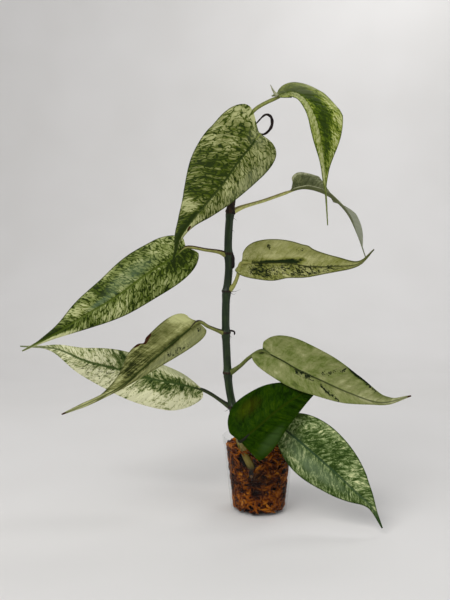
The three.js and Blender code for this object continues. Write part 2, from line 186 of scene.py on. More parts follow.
def add_piece(name, points, faces, material, slot=None, nodes=(), held=None, sharp=60):
    """A mesh piece that rides with the plant. held gives three numbers a point, by name, and
    an edge that turns by more than sharp degrees stays crisp."""
    mesh = bpy.data.meshes.new(name)
    mesh.from_pydata(np.asarray(points).tolist(), [], faces)
    mesh.validate()
    for key, values in (held or {}).items():
        attribute = mesh.attributes.new(key, "FLOAT_VECTOR", "POINT")
        attribute.data.foreach_set("vector", np.asarray(values, np.float32).ravel())
    mesh.shade_smooth()
    mesh.set_sharp_from_angle(angle=math.radians(sharp))
    mesh.materials.append(material)
    piece = bpy.data.objects.new(name, mesh)
    bpy.context.scene.collection.objects.link(piece)
    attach(piece, "root")
    if nodes:
        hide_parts(*nodes)
    return piece


def turned(profile, sides, radius_at=None):
    """Points and faces of a body turned about Z, from a profile that starts and ends there."""
    rings = profile[1:-1]
    points = [(0, 0, profile[0][1])]
    for radius, height in rings:
        for k in range(sides):
            angle = 2 * math.pi * k / sides
            reach = radius_at(radius, height, angle) if radius_at else radius
            points.append((reach * math.cos(angle), reach * math.sin(angle), height))
    points.append((0, 0, profile[-1][1]))
    faces = []
    last = len(points) - 1
    top = last - sides
    for k in range(sides):
        after = (k + 1) % sides
        faces.append((0, 1 + after, 1 + k))
        faces.append((last, top + k, top + after))
        for ring in range(len(rings) - 1):
            low = 1 + ring * sides
            faces.append((low + k, low + after, low + sides + after, low + sides + k))
    return points, faces


def outer_radius_at(height):
    return FOOT_RADIUS + FLARE * height


def inner_radius_at(height):
    return outer_radius_at(height) - WALL


def wall_radius(radius, height, angle):
    """The ribs stand out of the lower wall's outer face and fade out below the rim band."""
    outside = radius > inner_radius_at(height) + WALL / 2
    fade = max(0, math.sin(math.pi * min(1, height / (RIB_REACH * BAND_FOOT))))
    rib = RIB_HEIGHT * fade * max(0, math.cos(RIBS * angle)) ** RIB_SHARPNESS
    return radius + (rib if outside and height < BAND_FOOT else 0)


wall_heights = [BAND_FOOT * k / WALL_RINGS for k in range(WALL_RINGS + 1)]
pot_profile = [(0, 0), (FOOT_RADIUS - EASE, 0), (FOOT_RADIUS, EASE)]
pot_profile += [(outer_radius_at(height), height) for height in wall_heights[1:]]
pot_profile += [
    (RIM_RADIUS - EASE, BAND_FOOT + EASE),
    (RIM_RADIUS, POT_HEIGHT - EASE),
    (RIM_RADIUS - EASE, POT_HEIGHT),
    (RIM_RADIUS - WALL, POT_HEIGHT),
    (RIM_RADIUS - WALL - EASE, BAND_FOOT + WALL),
]
pot_profile += [(inner_radius_at(height), height) for height in reversed(wall_heights[1:])]
pot_profile += [(inner_radius_at(WALL), WALL), (0, WALL)]

plastic, start = new_finish("clear_plastic")
edge = start.add("ShaderNodeLayerWeight", None, {"Blend": 0.25}, "Facing")
dust = start.where().noise(90, 5)
show(start, start.add("ShaderNodeBsdfPrincipled", None, {
    "Base Color": dust.between(0.3, 0.8).blend(CLEAR_TINT, DUST_TINT),
    "Roughness": 0.06 + 0.1 * dust,
    "Alpha": 0.01 + 0.6 * edge * edge * edge + 0.02 * dust.between(0.5, 0.75),
    "Normal": start.rough(0.1, 0.2, dust),
    "Specular IOR Level": 0.55,
}))
pot = add_piece("pot_shell", *turned(pot_profile, POT_SIDES, wall_radius), plastic,
                "clear_plastic", ["pot"], sharp=35)

# The drain holes are punched through the foot.
punch_mesh = bpy.data.meshes.new("drain_punch")
shape = bmesh.new()
for index in range(DRAIN_HOLES):
    angle = 2 * math.pi * index / DRAIN_HOLES
    made = bmesh.ops.create_cone(
        shape, cap_ends=True, segments=DRAIN_HOLE_SIDES, radius1=DRAIN_HOLE_RADIUS,
        radius2=DRAIN_HOLE_RADIUS, depth=6 * WALL)
    bmesh.ops.translate(shape, verts=made["verts"], vec=(
        DRAIN_RING_RADIUS * math.cos(angle), DRAIN_RING_RADIUS * math.sin(angle), 0))
shape.to_mesh(punch_mesh)
shape.free()
punch = bpy.data.objects.new("drain_punch", punch_mesh)
bpy.context.scene.collection.objects.link(punch)
cut = pot.modifiers.new("drain", "BOOLEAN")
cut.object = punch
cut.operation = "DIFFERENCE"
cut.solver = "EXACT"
bpy.context.view_layer.update()
punched = bpy.data.meshes.new_from_object(pot.evaluated_get(bpy.context.evaluated_depsgraph_get()))
pot.modifiers.clear()
pot.data = punched
bpy.data.objects.remove(punch)


# Moss: long-fibred sphagnum, packed damp into the pot until it holds its shape. It has dried to
# orange and brown, and its leafy strands lie over each other with shaded gaps between, so a core
# painted near black for that shade carries some two thousand. Where the stem goes down by the
# wall, it leaves a groove, and the strands round it are painted dark for the hollow's shade.
MOSS_TOP = 50 * MM
MOSS_MOUND = 5 * MM
MOSS_RELIEF = 1.7 * MM
MOSS_CLEARANCE = 0.3 * MM
MOSS_BOTTOM = WALL + MOSS_CLEARANCE
MOSS_SIDES = 150
MOSS_RINGS = 60
DOME_RINGS = 25
CORE_DEPTH = 1.1 * MM  # how far the dark core lies under the strands
CORE_CRUMB = 0.5 * MM
CORE_EASE = (5 * MM, 1.7 * MM)  # its bottom edge is cut off this far in and up
CRUMBS_PER_METRE = 900
STRANDS_ROUND = 1500
STRANDS_ON_TOP = 500
STRAND_RADIUS = 0.62 * MM
STRAND_REACH = (5, 12)
STRAND_LIFT = (0.1, 0.9)
STRAND_SINK = 0.4 * MM
STRAND_RINGS = 10
STRAND_SIDES = 5
HOLLOW_PLACE = (-2 * MM, -22 * MM, 30 * MM)  # where the moss is sunk under the stem and painted black for the hollow's shade
HOLLOW_REACH = 11 * MM
STEM_SHOWN = 38 * MM  # below this height strands lie over the stem's end
STEM_ROOM = 1.3 * MM
STEM_RADIUS = 3.1 * MM
STEM_POINTS = [
    [-6, -20, 33], [-7, -20, 38], [-11, -17.5, 47], [-15, -12, 56], [-18, -5, 70], [-22, 0, 86],
    [-24, 0, 98], [-25.5, 0, 122], [-26.5, 0, 146], [-26, 0, 168], [-24, 0, 190], [-24.5, 0, 210],
    [-23, 0, 234], [-20.5, 0, 254], [-18, 0, 274], [-17, 1, 289],
]


class Line:
    """A smooth line through points given in millimetres, read by the share of its length."""

    def __init__(self, points, steps=60):
        knots = np.array(points, float) * MM
        held = np.vstack([2 * knots[0] - knots[1], knots, 2 * knots[-1] - knots[-2]])
        share = np.linspace(0, 1, steps, endpoint=False)[:, None]
        pieces = []
        for i in range(len(knots) - 1):
            before, first, second, after = held[i:i + 4]
            a, b, c = np.sqrt(np.linalg.norm(np.diff(held[i:i + 4], axis=0), axis=1))
            leave = ((first - before) / a - (second - before) / (a + b) + (second - first) / b) * b
            reach = ((second - first) / b - (after - first) / (b + c) + (after - second) / c) * b
            pieces.append(
                first + leave * share
                + (3 * (second - first) - 2 * leave - reach) * share ** 2
                + (2 * (first - second) + leave + reach) * share ** 3)
        self.path = np.vstack([*pieces, knots[-1:]])
        steps_walked = np.linalg.norm(np.diff(self.path, axis=0), axis=1)
        walked = np.concatenate([[0], np.cumsum(steps_walked)])
        self.length = walked[-1]
        self.shares = walked / self.length
        headings = np.gradient(self.path, walked, axis=0)
        self.headings = headings / np.linalg.norm(headings, axis=1)[:, None]

    def at(self, share):
        return np.stack([np.interp(share, self.shares, self.path[:, k]) for k in range(3)], -1)

    def heading(self, share):
        found = np.stack([np.interp(share, self.shares, self.headings[:, k]) for k in range(3)], -1)
        return found / np.linalg.norm(found, axis=-1, keepdims=True)


def tube(line, rings, sides, radius_at):
    """Points, faces and held numbers of a round body along a line. radius_at takes the share
    along it and the angle round it. The held numbers are that share, and the angle's cosine and
    sine, of which the cosine is 1 on top."""
    shares = np.linspace(0, 1, rings)
    centres = line.at(shares)
    headings = line.heading(shares)
    up = np.array([0.0, 0.0, 1.0])
    if abs(headings[0][2]) > 0.9:
        up = np.array([0.0, -1.0, 0.0])
    points, held = [], []
    angles = 2 * np.pi * np.arange(sides) / sides
    for share, centre, heading in zip(shares, centres, headings):
        up = up - heading * (up @ heading)
        up /= np.linalg.norm(up)
        side = np.cross(heading, up)
        radii = np.array([radius_at(share, angle) for angle in angles])[:, None]
        spokes = np.outer(np.cos(angles), up) + np.outer(np.sin(angles), side)
        points.append(centre + radii * spokes)
        held.append(np.stack([np.full(sides, share), np.cos(angles), np.sin(angles)], -1))
    end = (len(shares) - 1) * sides
    faces = [tuple(range(sides - 1, -1, -1)), tuple(end + k for k in range(sides))]
    for ring in range(len(shares) - 1):
        low = ring * sides
        for k in range(sides):
            after = (k + 1) % sides
            faces.append((low + k, low + after, low + sides + after, low + sides + k))
    return np.vstack(points), faces, np.vstack(held)


def joined(parts):
    """One list of points, faces and held numbers from several."""
    points, faces, held = [], [], []
    count = 0
    for part_points, part_faces, part_held in parts:
        points.append(part_points)
        held.append(part_held)
        faces += [tuple(count + k for k in face) for face in part_faces]
        count += len(part_points)
    return np.vstack(points), faces, np.vstack(held)


stem_line = Line(STEM_POINTS)
buried_shares = np.linspace(0, 0.25, 60)
buried_stem = stem_line.at(buried_shares)


def stem_gap(place):
    """How far a place is from the buried stem's middle, and that middle's place."""
    away = np.linalg.norm(buried_stem - np.asarray(place), axis=1)
    nearest = int(away.argmin())
    return away[nearest], buried_stem[nearest]


def moss_relief(x, y, z):
    """The same lumps as the moss solid has, in metres."""
    x, y, z = x / MM, y / MM, z / MM
    waves = (math.sin(0.62 * x + 1.1 * math.sin(0.41 * z))
             * math.sin(0.58 * y + 1.3 * math.sin(0.37 * x + 0.5 * z))
             + 0.5 * math.sin(0.9 * z + 0.7 * x - 0.8 * y))
    return MOSS_RELIEF * (0.5 + 0.33 * waves)


def moss_radius(height):
    return inner_radius_at(height) - MOSS_CLEARANCE


def moss_top_at(radius):
    share = min(1, radius / moss_radius(MOSS_TOP))
    return MOSS_TOP + MOSS_MOUND * math.sqrt(max(0, 1 - share ** 2))


core_heights = np.linspace(MOSS_BOTTOM + CORE_EASE[1], MOSS_TOP, MOSS_RINGS)
core_profile = [(0, MOSS_BOTTOM), (moss_radius(MOSS_BOTTOM) - CORE_EASE[0], MOSS_BOTTOM)]
core_profile += [(moss_radius(height) - CORE_DEPTH, height) for height in core_heights]
for share in np.linspace(0, 1, DOME_RINGS + 1)[1:]:
    radius = (moss_radius(MOSS_TOP) - CORE_DEPTH) * math.cos(share * math.pi / 2)
    core_profile.append((max(0, radius), moss_top_at(radius) - CORE_DEPTH))
core_points, core_faces = turned(core_profile, MOSS_SIDES)
core_points = np.array(core_points)
for point in core_points:
    radius = math.hypot(point[0], point[1])
    crumb = CORE_CRUMB * noise.noise(Vector(point) * CRUMBS_PER_METRE)
    depth = moss_relief(*point) + crumb
    if radius > MM and point[2] > MOSS_BOTTOM + MM:
        if point[2] > MOSS_TOP - MM / 2:
            point[2] -= depth
        else:
            point[:2] *= (radius - depth) / radius
    gap, middle = stem_gap(point)
    room = STEM_RADIUS + MM
    if gap < 2 * room:
        inward = np.array([-middle[0], -middle[1], 0]) / math.hypot(middle[0], middle[1])
        ahead = (point - middle) @ inward
        back_to = 0.6 * STEM_RADIUS
        if gap < room or ahead < 0:
            side_share = min(1, max(0, (2 * room - gap) / room))
            point += inward * max(0, back_to - ahead) * side_share

moss_finish, start = new_finish("sphagnum")
tone, painted_moss_shade, _ = start.read("strand")
grain = start.where()
cloud = grain.noise(120, 4)
fibre = grain.noise(1500, 3)
moss_colour = start.add("ShaderNodeValToRGB", {"stops": [
    (0.0, tint(24, 9, 1)), (0.3, tint(78, 35, 4)), (0.6, tint(148, 80, 12)),
    (0.85, tint(194, 124, 32)), (1.0, tint(214, 166, 80)),
]}, {"Fac": 0.6 * tone + 1.5 * cloud + 0.35 * fibre - 0.88})
# Where the strand's second number is 1 the moss is painted near black: painted shade for the gaps
# under the strands and for the hollow by the stem.
show(start, start.add("ShaderNodeBsdfPrincipled", None, {
    "Base Color": painted_moss_shade.blend(moss_colour, tint(14, 7, 4)),
    "Roughness": 0.7 + 0.25 * fibre,
    "Specular IOR Level": 0.06,
    "Normal": start.rough(0.8, 0.4, fibre),
}))
# The core is painted near black all over, for the shade in the gaps between the strands.
core_held = np.tile([0.0, 1.0, 0.0], (len(core_points), 1))
add_piece("moss_core", core_points, core_faces, moss_finish, "sphagnum", ["moss"],
          {"strand": core_held}, sharp=180)

dice = random.Random(7)


def inside_wall(spot):
    """Keeps a place off the pot's wall and foot."""
    limit = moss_radius(min(spot.z, POT_HEIGHT)) - STRAND_RADIUS
    radius = math.hypot(spot.x, spot.y)
    if radius > limit:
        spot.x *= limit / radius
        spot.y *= limit / radius
    spot.z = max(spot.z, MOSS_BOTTOM + STRAND_RADIUS)
    return spot


def moss_strand(place, out):
    """A leafy strand that starts at a place on the moss, bends over it and comes to a fine tip."""
    along = Vector((dice.uniform(-1, 1), dice.uniform(-1, 1), dice.uniform(-0.6, 0.6)))
    out = Vector(out)
    along = (along - out * along.dot(out)).normalized()
    side = out.cross(along)
    reach = dice.uniform(*STRAND_REACH) * MM
    bend = dice.uniform(-0.5, 0.5)
    lift = dice.uniform(*STRAND_LIFT) * MM
    line = []
    for share in (-0.5, -0.2, 0.15, 0.5):
        spot = Vector(place) + along * reach * share + side * reach * bend * share * share * 2
        spot += out * (lift * (1 - 4 * share * share) - STRAND_SINK)
        line.append(inside_wall(spot))
    for spot in line:
        if spot.z > STEM_SHOWN and stem_gap(spot)[0] < STEM_RADIUS + STEM_ROOM:
            return None
    girth = STRAND_RADIUS * dice.uniform(0.55, 1.25)
    turns = dice.uniform(18, 30)
    shift = dice.uniform(0, 6)

    def radius_at(share, angle):
        leafy = 1 + 0.35 * math.sin(turns * share + shift + 2 * angle)
        return girth * leafy * min(1, 4.5 * (1 - share) + 0.15) * min(1, 5 * share + 0.3)

    points, faces, held = tube(Line(np.array(line) / MM, 8), STRAND_RINGS, STRAND_SIDES, radius_at)
    # Strands near the hollow are painted darker, down to near black, for its shade.
    shade = math.exp(-(math.dist(place, HOLLOW_PLACE) / HOLLOW_REACH) ** 2)
    held[:] = (dice.random(), 0.9 * shade, 0)
    return points, faces, held


round_strands, top_strands = [], []
for _ in range(STRANDS_ROUND):
    angle = dice.uniform(0, 2 * math.pi)
    height = dice.uniform(MOSS_BOTTOM + 2 * MM, MOSS_TOP)
    radius = moss_radius(height) - STRAND_RADIUS
    base = (radius * math.cos(angle), radius * math.sin(angle), height)
    depth = moss_relief(*base) * 0.8
    base = ((radius - depth) * math.cos(angle), (radius - depth) * math.sin(angle), height)
    round_strands.append(moss_strand(base, (math.cos(angle), math.sin(angle), 0)))
for _ in range(STRANDS_ON_TOP):
    angle = dice.uniform(0, 2 * math.pi)
    radius = moss_radius(MOSS_TOP) * math.sqrt(dice.random()) * 0.96
    base = (radius * math.cos(angle), radius * math.sin(angle), moss_top_at(radius))
    base = (base[0], base[1], base[2] - moss_relief(*base) * 0.7)
    top_strands.append(moss_strand(base, (0, 0, 1)))
for name, strands in (("moss_strands", round_strands), ("moss_top_strands", top_strands)):
    points, faces, held = joined([strand for strand in strands if strand])
    add_piece(name, points, faces, moss_finish, "sphagnum", ["moss"], {"strand": held}, sharp=180)


# Roots: a crown under the stem's buried end, and fleshy roots that spread through the moss.
# They are sealed in it and show only where the moss is thin. Their skin is painted a darker
# brown than pale root flesh, partly as damp root and partly as painted shade of the hollow
# where the crown shows.
CROWN_POINTS = [[-5.9, -20, 32.6], [-4.9, -19.5, 27.5]]
CROWN_RADIUS = 2.4 * MM
ROOT_RADIUS = 1.1 * MM
ROOT_POINTS = [
    [[-4.9, -19.5, 27.5], [-10, -12, 22], [-16, -2, 16], [-14, 10, 9], [-4, 16, 5]],
    [[-4.9, -19.5, 27.5], [2, -12, 25], [12, -6, 20], [17, 4, 13], [12, 14, 6]],
    [[-4.9, -19.5, 27.5], [-3, -10, 22], [0, 0, 15], [3, 8, 9], [-2, 12, 14]],
    [[-4.9, -19.5, 27.5], [-8, -15, 18], [-12, -10, 10], [-6, -6, 4.5]],
    [[-4.9, -19.5, 27.5], [1, -17, 19], [8, -14, 11], [12, -6, 5]],
]
root_finish, start = new_finish("root_flesh")
root_grain = start.where().noise(700, 4)
show(start, start.add("ShaderNodeBsdfPrincipled", None, {
    "Base Color": root_grain.between(0.3, 0.75).blend(tint(104, 78, 44), tint(44, 28, 14)),
    "Roughness": 0.6 + 0.2 * root_grain,
    "Normal": start.rough(0.5, 0.3, root_grain),
}))
root_parts = [tube(Line(CROWN_POINTS), 12, 16, lambda share, angle: CROWN_RADIUS)]
for points in ROOT_POINTS:
    root_parts.append(
        tube(Line(points), 60, 10, lambda share, angle: ROOT_RADIUS * (1 - 0.4 * share)))
points, faces, _ = joined(root_parts)
add_piece("root_crown", points, faces, root_finish, "root", ["roots"])


# Stem: one green climbing stem with a waxy skin. It is ringed and swollen where each leaf grew,
# with a dry brown scar there, runs brown near the top, and is yellower and thicker where it
# goes down into the moss. Dry stubs and hairs of aerial roots stand out of its nodes.
NODE_SWELLING = 0.7 * MM
NODE_SPREAD = 3.5 * MM
RING_HEIGHT = 0.3 * MM
GROOVE_DEPTH = 0.28 * MM
RIDGE_HEIGHT = 0.1 * MM
RIDGES = 7
STEM_RINGS = 520
STEM_SIDES = 48
NODE_HEIGHTS = [66, 73, 80, 107, 139, 172, 202, 236, 262, 280]
BROWN_HEIGHTS = [235, 245]
STUBS = [
    {"line": [[-24, 0, 204], [-21.6, -0.8, 201], [-20.6, -1.2, 196], [-21, -1.2, 191]],
     "radius": 2 * MM},
    {"line": [[-26, 0, 141], [-21.5, -1, 141.5], [-19.5, -1.4, 140.5], [-19.6, -1.4, 138]],
     "radius": 0.9 * MM},
    {"line": [[-22, 0, 238], [-20, -1.6, 237], [-19.2, -2, 234]], "radius": 0.9 * MM},
]
HAIR_RADIUS = 0.22 * MM
HAIRS = [
    [[-23.5, -1, 173], [-19.5, -2, 172.6], [-16.5, -2.6, 173.6], [-14.6, -3, 174.8]],
    [[-23.5, -1, 172], [-20, -2, 170.5], [-18, -2.6, 171.2]],
    [[-22, -1, 231.5], [-19, -1.5, 230.6], [-17.6, -2, 228.8]],
    [[-22.5, -1, 222], [-20.4, -1.5, 221.2], [-19.3, -2, 219.6]],
    [[-26, -1, 138], [-22.4, -2, 136.8], [-21.2, -2.5, 135.4]],
    [[-24, -1, 79], [-26.4, -2.6, 77.6], [-28, -3.4, 78]],
]


def stem_radius_at(share, angle):
    height = np.interp(share, stem_line.shares, stem_line.path[:, 2])
    away = (height - np.array(NODE_HEIGHTS) * MM) / NODE_SPREAD
    swelling = min(1, float(np.exp(-away ** 2).sum()))
    ring = RING_HEIGHT * float(np.exp(-(away * 4 - 1.2) ** 2).sum())
    groove = GROOVE_DEPTH * float(np.exp(-(away * 4 + 1) ** 2).sum())
    ridge = RIDGE_HEIGHT * math.cos(RIDGES * angle + 30 * share)
    tip = min(1, (1 - share) * 18 + 0.25)
    return (STEM_RADIUS + NODE_SWELLING * swelling + ring - groove + ridge) * tip


stem_points, stem_faces, _ = tube(stem_line, STEM_RINGS, STEM_SIDES, stem_radius_at)
stem_heights = stem_points[:, 2] / MM
scar = np.zeros(len(stem_points))
for height in NODE_HEIGHTS:
    scar += 0.8 * np.exp(-((stem_heights - height - 0.8) / 1.2) ** 2)
low_brown, high_brown = BROWN_HEIGHTS
scar += 1.2 / (1 + np.exp((np.abs(stem_heights - (low_brown + high_brown) / 2) - 5) * 1.5))
stem_marks = np.stack([stem_heights, scar, np.zeros(len(scar))], -1)

stem_finish, start = new_finish("stem_skin")
height, scarred, _ = start.read("stem")
grain = start.where()
drawn_out = grain.add("ShaderNodeMapping", None, {"Vector": grain, "Scale": (900, 900, 60)})
lengthwise = drawn_out.noise(1, 4)
blotch = grain.noise(160, 3)
mottle = (0.6 * lengthwise + 0.4 * blotch).between(0.35, 0.7)
skin = mottle.blend(tint(17, 32, 14), tint(40, 56, 24))
old_skin = lengthwise.between(0.3, 0.7).blend(tint(84, 76, 24), tint(122, 108, 44))
skin = height.between(74, 52).blend(skin, old_skin)
# Below 42 mm the stem goes down into the shaded hollow in the moss, and its skin is painted near
# black there for that shade.
skin = height.between(42, 36).blend(skin, tint(20, 12, 6))
scar_colour = lengthwise.between(0.35, 0.7).blend(tint(18, 13, 9), tint(58, 42, 28))
scar_share = (scarred + 0.8 * blotch - 0.35).between(0.3, 0.75)
show(start, start.add("ShaderNodeBsdfPrincipled", None, {
    "Base Color": scar_share.blend(skin, scar_colour),
    "Roughness": 0.4 + 0.35 * scar_share + 0.12 * blotch + 0.3 * height.between(46, 40),
    "Specular IOR Level": 0.3,
    "Normal": start.rough(0.5, 0.3, lengthwise + scar_share),
}))
add_piece("stem_skin", stem_points, stem_faces, stem_finish, "stem", ["stem"],
          {"stem": stem_marks})

dry_finish, start = new_finish("dry_root_skin")
dry_grain = start.where().noise(1100, 4)
show(start, start.add("ShaderNodeBsdfPrincipled", None, {
    "Base Color": dry_grain.between(0.35, 0.75).blend(tint(12, 6, 5), tint(42, 24, 17)),
    "Roughness": 0.5 + 0.3 * dry_grain,
    "Specular IOR Level": 0.25,
    "Normal": start.rough(0.6, 0.3, dry_grain),
}))


def stub_part(line, radius):
    return tube(Line(line), 26, 12, lambda share, angle: radius * (1 - 0.35 * share)
                * (1 + 0.12 * math.sin(9 * share + 3 * angle)) * min(1, 8 * (1 - share) + 0.3))


points, faces, _ = joined([stub_part(**stub) for stub in STUBS])
add_piece("root_stubs", points, faces, dry_finish, "dry_root", ["stem"])
hairs = [tube(Line(points), 14, 6, lambda share, angle: HAIR_RADIUS * (1.1 - share))
         for points in HAIRS]
points, faces, _ = joined(hairs)
add_piece("root_hairs", points, faces, dry_finish, "dry_root")


# Aerial root: a thin dead root from the topmost node that has dried to a dark loop. It is
# wrinkled, and thickest on the far side of the loop.
AERIAL_POINTS = [
    [-16.5, 0, 277], [-14, 4, 285], [-9, 5, 298], [-1, 3, 309], [6, 2, 315], [10, 2, 313],
    [10.5, 3, 306], [5, 4, 300], [-2, 6, 301],
]
AERIAL_THICKEST = 0.76  # the share of its length at the far side of the loop


def aerial_radius(share, angle):
    wrinkle = 1 + 0.08 * math.sin(90 * share + 2 * angle)
    swelling = math.exp(-((share - AERIAL_THICKEST) / 0.17) ** 2)
    return MM * (0.5 + 0.75 * swelling) * wrinkle


points, faces, _ = tube(Line(AERIAL_POINTS), 240, 14, aerial_radius)
add_piece("aerial_root_loop", points, faces, dry_finish, "dry_root", ["aerial_root"])


# Leaf A, the topmost: a broad heart-shaped blade seen from above, pale green netted with dark
# veins, its lobe up and its tip curled down to the left. As on every leaf here, blade and petiole
# grew as one. A blade is thin, waxy above and duller below, with a midrib that stands out there.
THICKNESS = 0.8 * MM
MARGIN_THICKNESS = 0.35 * MM
MIDRIB_DEPTH = 0.9 * MM
MIDRIB_HALF = 0.9 * MM
CHANNEL_DEPTH = 0.35 * MM
VEIN_RELIEF = 0.28 * MM
VEIN_SLANT = 0.5
BASE_REACH = 0.008
FORWARD_SWEEP = 4 * MM
TIP_HALF = 0.5 * MM
DRIP_RUN = 0.15
RIPPLES = 3
RIPPLE_ROOM = 8 * MM
BLADE_ROWS = 190
BLADE_COLUMNS = 35
ROW_CROWDING = 1.4
COLUMN_CROWDING = 1.5
PETIOLE_RADIUS = 1.5 * MM
PETIOLE_RUN_ON = 9 * MM
RUN_ON_DEPTHS = (0.9 * MM, 0.5 * MM)
NO_STROKE = 20.0  # millimetres to the nearest stroke where there is none
STROKE_STEPS = 24

# How a leaf's form is given, in millimetres and degrees: its petiole runs from the stem to the
# blade and its midrib from there to the tip. lean turns the blade about its midrib, and is 0 where
# the upper face looks at the viewer. fold is how far each half is raised at the midrib, and curl
# how much more it bends by its margin. lean and fold list angles for even steps to the tip.
# width, lobe (how far back the base reaches), peak (where the half is widest) and taper are for
# the left half and the right one, seen on the upper face with the tip away. tail and drip are the
# drip tip's share of the length and its half width, wave is the margin's ripple, and veins is the
# gap between side veins. swells are wider places: a side (0 is the left), a place, a span and a
# height.
USUAL_FORM = {"lean": [0], "fold": [[0], [0]], "curl": [-20, -20], "wave": 0.8, "swells": []}


def stations(values, share):
    """What a list of values for even steps gives at a share of the way."""
    return np.interp(share, np.linspace(0, 1, len(values)), values)


def by_side(v, pair):
    return np.where(v >= 0, pair[0], pair[1])


def half_width(form, u, v):
    """Half the blade's width, with the left half on v from 0 to 1 and the right on 0 to -1."""
    peak = by_side(v, form["peak"])
    taper = by_side(v, form["taper"])
    body = np.minimum(1, u / (1 - form["tail"]))
    rise = ((body + BASE_REACH) / (peak + BASE_REACH)) ** (taper * (peak + BASE_REACH) / (1 - peak))
    fall = ((1 - body) / (1 - peak)) ** taper
    spread = by_side(v, form["width"]) * MM * rise * fall
    for side, at, span, height in form["swells"]:
        swell = height * MM * np.exp(-((u - at) / span) ** 2)
        spread = spread + np.where(by_side(v, (0, 1)) == side, swell, 0)
    drip = TIP_HALF + (form["drip"] * MM - TIP_HALF) * np.minimum(1, (1 - u) / DRIP_RUN)
    return np.hypot(np.maximum(0, spread), drip)


def blade_places(form, line, u, v):
    """Places on the middle of the blade's thickness. Behind its base they run straight on."""
    out = np.abs(v)
    forward = FORWARD_SWEEP * 4 * u * (1 - u) * out ** 1.5
    backward = by_side(v, form["lobe"]) * MM * (1 - u) ** 6 * np.sin(out * np.pi / 2) ** 1.3
    share = u + (forward - backward) / line.length
    within = np.clip(share, 0, 1)
    along = line.heading(within)
    middle = line.at(within) + along * ((share - within) * line.length)[..., None]
    up = np.array([0.0, -1.0, 0.0]) + along * along[..., 1:2]
    up /= np.linalg.norm(up, axis=-1, keepdims=True)
    lean = np.radians(stations(form["lean"], within))[..., None]
    up = up * np.cos(lean) + np.cross(along, up) * np.sin(lean)
    across = np.cross(up, along) * by_side(v, (1, -1))[..., None]
    width = half_width(form, u, v)
    folds = [stations(values, within) for values in form["fold"]]
    fold = np.radians(by_side(v, folds))
    curl = np.radians(by_side(v, form["curl"]))
    reach = width * (np.sin(fold + curl * out) - np.sin(fold)) / curl
    rise = width * (np.cos(fold) - np.cos(fold + curl * out)) / curl
    ripple = form["wave"] * MM * out * out * np.minimum(1, width / RIPPLE_ROOM)
    ripple = ripple * np.sin(2 * np.pi * (RIPPLES * u + 0.4 * by_side(v, (0, 1))))
    return middle + across * reach[..., None] + up * (rise + ripple)[..., None]


def blade_normals(form, line, u, v):
    step = 0.01
    ahead = blade_places(form, line, np.minimum(1, u + step), v)
    behind = blade_places(form, line, np.maximum(0, u - step), v)
    left = blade_places(form, line, u, np.minimum(1, v + step))
    right = blade_places(form, line, u, np.maximum(-1, v - step))
    normals = np.cross(ahead - behind, left - right)
    return normals / np.linalg.norm(normals, axis=-1, keepdims=True)


def laid_patches(patches, u, v):
    """The sum of soft patches, each given as where it lies along and across the blade, how far
    it reaches each way, and how strong it is."""
    total = np.zeros(u.shape)
    for at, across, length, width, strength in patches:
        away = ((u - at) / length) ** 2 + ((v - across) / width) ** 2
        total += strength * np.exp(-away ** 1.5)
    return total


def stroke_gaps(strokes, u, v, length, width):
    """How far each point lies from the nearest dark stroke, in millimetres. A stroke runs through
    places that are given along and across the blade, and shakes a little to each side."""
    gap = np.full(u.shape, NO_STROKE)
    along, across = u * length / MM, v * width / MM
    shake = 0.9 * np.sin(1.9 * along + 0.8 * across) + 0.5 * np.sin(4.1 * across - along)
    u = u + shake * MM / length
    v = v + 0.8 * shake * MM / np.maximum(width, MM)
    for stroke in strokes:
        for first, last in zip(stroke, stroke[1:]):
            for share in np.linspace(0, 1, STROKE_STEPS):
                at, out = np.add(first, share * np.subtract(last, first))
                gap = np.minimum(gap, np.hypot((u - at) * length, (v - out) * width) / MM)
    return gap


def blade_faces(wide):
    """The faces of an upper and a lower sheet of points, and of the strip round their edge."""
    count = BLADE_ROWS * wide
    faces = []
    for i in range(BLADE_ROWS - 1):
        for j in range(wide - 1):
            a = i * wide + j
            b = a + wide
            faces.append((a, b, b + 1, a + 1))
            faces.append((count + a, count + a + 1, count + b + 1, count + b))
        right = i * wide
        left = right + wide - 1
        faces.append((count + right, count + right + wide, right + wide, right))
        faces.append((left, left + wide, count + left + wide, count + left))
    for j in range(wide - 1):
        tip = (BLADE_ROWS - 1) * wide + j
        faces.append((j, j + 1, count + j + 1, count + j))
        faces.append((count + tip, count + tip + 1, tip + 1, tip))
    return faces


